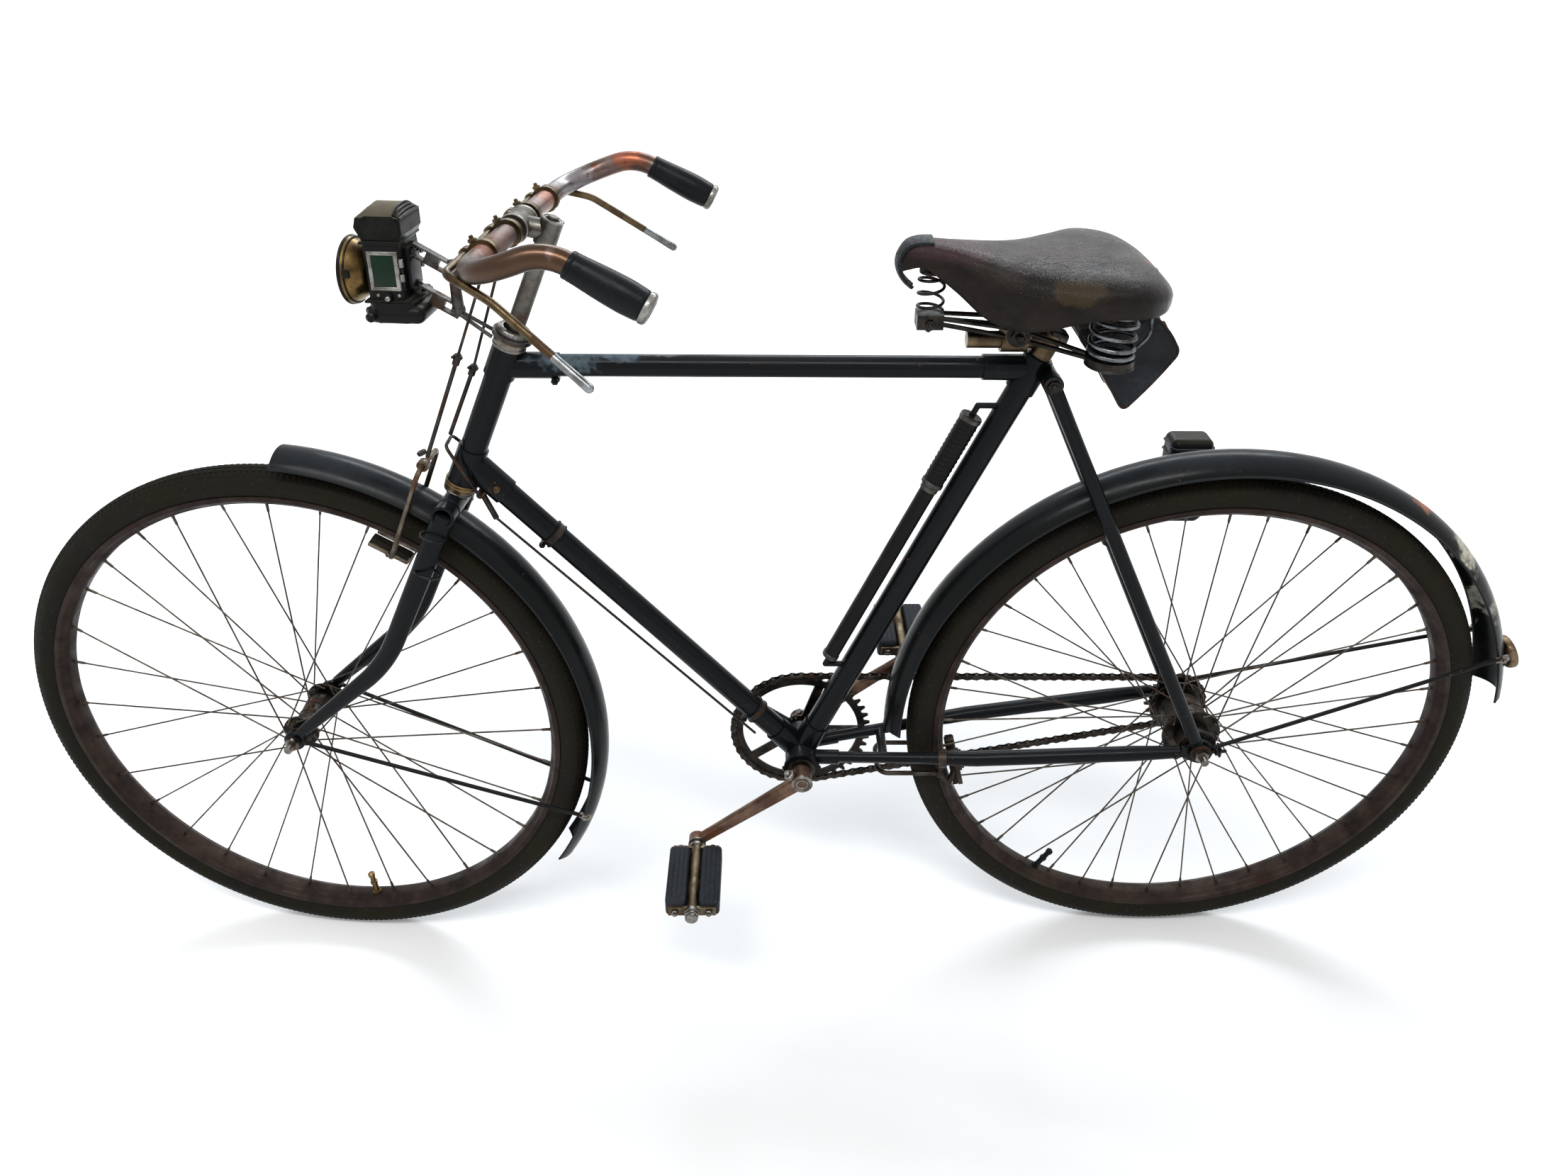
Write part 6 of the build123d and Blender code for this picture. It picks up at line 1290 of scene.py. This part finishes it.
def pads(name, body, where, centre, degrees, slot_finish):
    shape = Shape()
    a = math.radians(degrees)
    turn = Matrix.Rotation(math.pi / 2 - a, 3, "Y")
    out = Vector((math.cos(a), 0, math.sin(a)))
    along_way = turn @ BACK
    for side in (-1, 1):
        base = centre + out * 299 + Vector((0, side * 14, 0))
        shape.block(base + out * 3.2, (48, 11.6, 6.6), turn, 1.2, slot=1)
        shape.block(base - out * 3.4, (50, 12.8, 6.2), turn, 1.4)
        shape.block(base + along_way * 24.6, (2.4, 12.8, 10), turn, 0.8)
        shape.nut(base - out * 7.4, -out, 5, 3.6, 2.4)
    shape.done(name, [slot_finish, pad_rubber], body, "brake_steel", (), where)


pads("front_brake_pads", "steering", STEERED, FRONT_HUB, 61, stirrup_steel)
pads("rear_brake_pads", "frame", STILL, Vector((0, 0, 0)), 193.5, brake_steel)

rod_trim = Shape()
for x, y, z in ((-859, -20, 505), (-852, 4, 484)):
    rod_trim.nut((x, y, z), (-0.38, 0, 0.92), 4.6, 8)
    rod_trim.rod((x - 4, y - 6, z + 2), (x - 1, y, z), 1.8, sides=8, edge=0.3)
rod_trim.nut((-915, -15, 388), (-0.38, 0, 0.92), 5.4, 5)
rod_trim.done("brake_rod_nuts", brake_steel, "steering", "brake_steel", (), STEERED)


# Finishes of the pieces kept from the frame

NODE_FINISH = {
    frame_enamel: ("head_tube", "top_tube", "down_tube", "seat_tube", "bottom_bracket", "chain_stays", "rear_dropouts", "seat_stays", "pump_pegs"),
    fork_enamel: ("fork_crown", "fork_blades"),
    guard_enamel: ("rear_mudguard", "front_mudguard"),
    wire_enamel: ("rear_mudguard_stays", "front_mudguard_stays"),
    race_brass: ("head_cups",),
    bar_chrome: ("handlebar",),
    stem_steel: ("stem",),
    lever_steel: ("brake_levers", "lever_brackets"),
    stirrup_steel: ("front_brake_stirrup",),
    brake_steel: ("front_brake_rods", "rear_brake"),
    hub_steel: ("front_hub", "rear_hub"),
    spoke_steel: ("front_spokes", "rear_spokes"),
    rim_steel: ("front_rim", "rear_rim"),
    tyre_rubber: ("front_tyre", "rear_tyre"),
    crank_steel: ("left_crank", "right_crank", "crank_axle"),
    nut_steel: ("pedal_axles", "front_axle", "rear_axle"),
    drive_steel: ("chainring", "rear_sprocket"),
    chain_steel: ("chain",),
    pedal_steel: ("left_pedal_frame", "right_pedal_frame"),
    pedal_rubber: ("left_pedal_blocks", "right_pedal_blocks"),
    grip_rubber: ("left_grip", "right_grip"),
    post_steel: ("seat_post",),
    rail_steel: ("saddle_rails", "saddle_plates"),
    spring_steel: ("front_spring", "rear_springs"),
    pump_enamel: ("pump",),
    lamp_enamel: ("lamp_body", "rear_lamp"),
    arm_steel: ("lamp_bracket",),
    race_steel: ("head_cones",),
}
for finish, nodes in NODE_FINISH.items():
    for node in nodes:
        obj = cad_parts[node]
        obj.data.materials.clear()
        obj.data.materials.append(finish)


# Floor, backdrop and lamps

def floor_finish():
    """Pale to light and shadow, and to the eye a white that keeps the object's shadow."""
    mat = bpy.data.materials.new("floor")
    mat.use_nodes = True
    tree = mat.node_tree
    tree.nodes.clear()
    out = tree.nodes.new("ShaderNodeOutputMaterial")
    path = tree.nodes.new("ShaderNodeLightPath")
    seen = tree.nodes.new("ShaderNodeMath")
    seen.operation = "MAXIMUM"
    tree.links.new(path.outputs["Is Camera Ray"], seen.inputs[0])
    tree.links.new(path.outputs["Is Glossy Ray"], seen.inputs[1])
    both = tree.nodes.new("ShaderNodeMath")
    both.operation = "MAXIMUM"
    tree.links.new(seen.outputs[0], both.inputs[0])
    tree.links.new(path.outputs["Is Transmission Ray"], both.inputs[1])
    pale = tree.nodes.new("ShaderNodeBsdfDiffuse")
    pale.inputs["Color"].default_value = (0.8, 0.8, 0.8, 1)
    shaded = tree.nodes.new("ShaderNodeBsdfDiffuse")
    shaded.inputs["Color"].default_value = (0.96, 0.96, 0.96, 1)
    place = tree.nodes.new("ShaderNodeTexCoord")
    away = tree.nodes.new("ShaderNodeMapping")
    away.inputs["Scale"].default_value = (0.9, 1.7, 1)
    tree.links.new(place.outputs["Object"], away.inputs["Vector"])
    far = tree.nodes.new("ShaderNodeVectorMath")
    far.operation = "LENGTH"
    tree.links.new(away.outputs[0], far.inputs[0])
    rise = tree.nodes.new("ShaderNodeMapRange")
    rise.inputs["From Min"].default_value = 0.5
    rise.inputs["From Max"].default_value = 2.2
    rise.inputs["To Min"].default_value = 0.06
    rise.inputs["To Max"].default_value = 0.6
    tree.links.new(far.outputs["Value"], rise.inputs["Value"])
    glow = tree.nodes.new("ShaderNodeEmission")
    tree.links.new(rise.outputs[0], glow.inputs["Strength"])
    add = tree.nodes.new("ShaderNodeAddShader")
    tree.links.new(shaded.outputs[0], add.inputs[0])
    tree.links.new(glow.outputs[0], add.inputs[1])
    mix = tree.nodes.new("ShaderNodeMixShader")
    tree.links.new(both.outputs[0], mix.inputs[0])
    tree.links.new(pale.outputs[0], mix.inputs[1])
    tree.links.new(add.outputs[0], mix.inputs[2])
    tree.links.new(mix.outputs[0], out.inputs["Surface"])
    return mat


bpy.ops.mesh.primitive_plane_add(size=40, location=(0, 0, -0.9776))
floor = bpy.context.object
floor.name = "floor"
floor.data.materials.append(floor_finish())

world = bpy.data.worlds.new("world")
bpy.context.scene.world = world
world.use_nodes = True
sky = world.node_tree
back = sky.nodes["Background"]
path = sky.nodes.new("ShaderNodeLightPath")
first = sky.nodes.new("ShaderNodeMath")
first.operation = "MAXIMUM"
second = sky.nodes.new("ShaderNodeMath")
second.operation = "MAXIMUM"
tint = sky.nodes.new("ShaderNodeMix")
tint.data_type = "RGBA"
sky.links.new(path.outputs["Is Camera Ray"], first.inputs[0])
sky.links.new(path.outputs["Is Glossy Ray"], first.inputs[1])
sky.links.new(first.outputs[0], second.inputs[0])
sky.links.new(path.outputs["Is Transmission Ray"], second.inputs[1])
sky.links.new(second.outputs[0], tint.inputs["Factor"])
tint.inputs[6].default_value = (0.50, 0.51, 0.52, 1)
tint.inputs[7].default_value = (1, 1, 1, 1)
sky.links.new(tint.outputs[2], back.inputs[0])


def soft_lamp(name, spot, aim, size, power, colour):
    data = bpy.data.lights.new(name, "AREA")
    data.shape = "RECTANGLE"
    data.size, data.size_y = size
    data.energy = power
    data.color = colour
    obj = bpy.data.objects.new(name, data)
    bpy.context.scene.collection.objects.link(obj)
    obj.location = spot
    obj.rotation_euler = (Vector(aim) - Vector(spot)).to_track_quat("-Z", "Y").to_euler()


soft_lamp("key", (-0.6, -1.6, 2.4), (-0.2, 0, -0.3), (2.6, 0.5), 60, (1, 0.99, 0.98))
soft_lamp("far", (0.4, 2.4, 1.7), (-0.2, 0, -0.3), (3.4, 0.6), 66, (0.88, 0.95, 1))
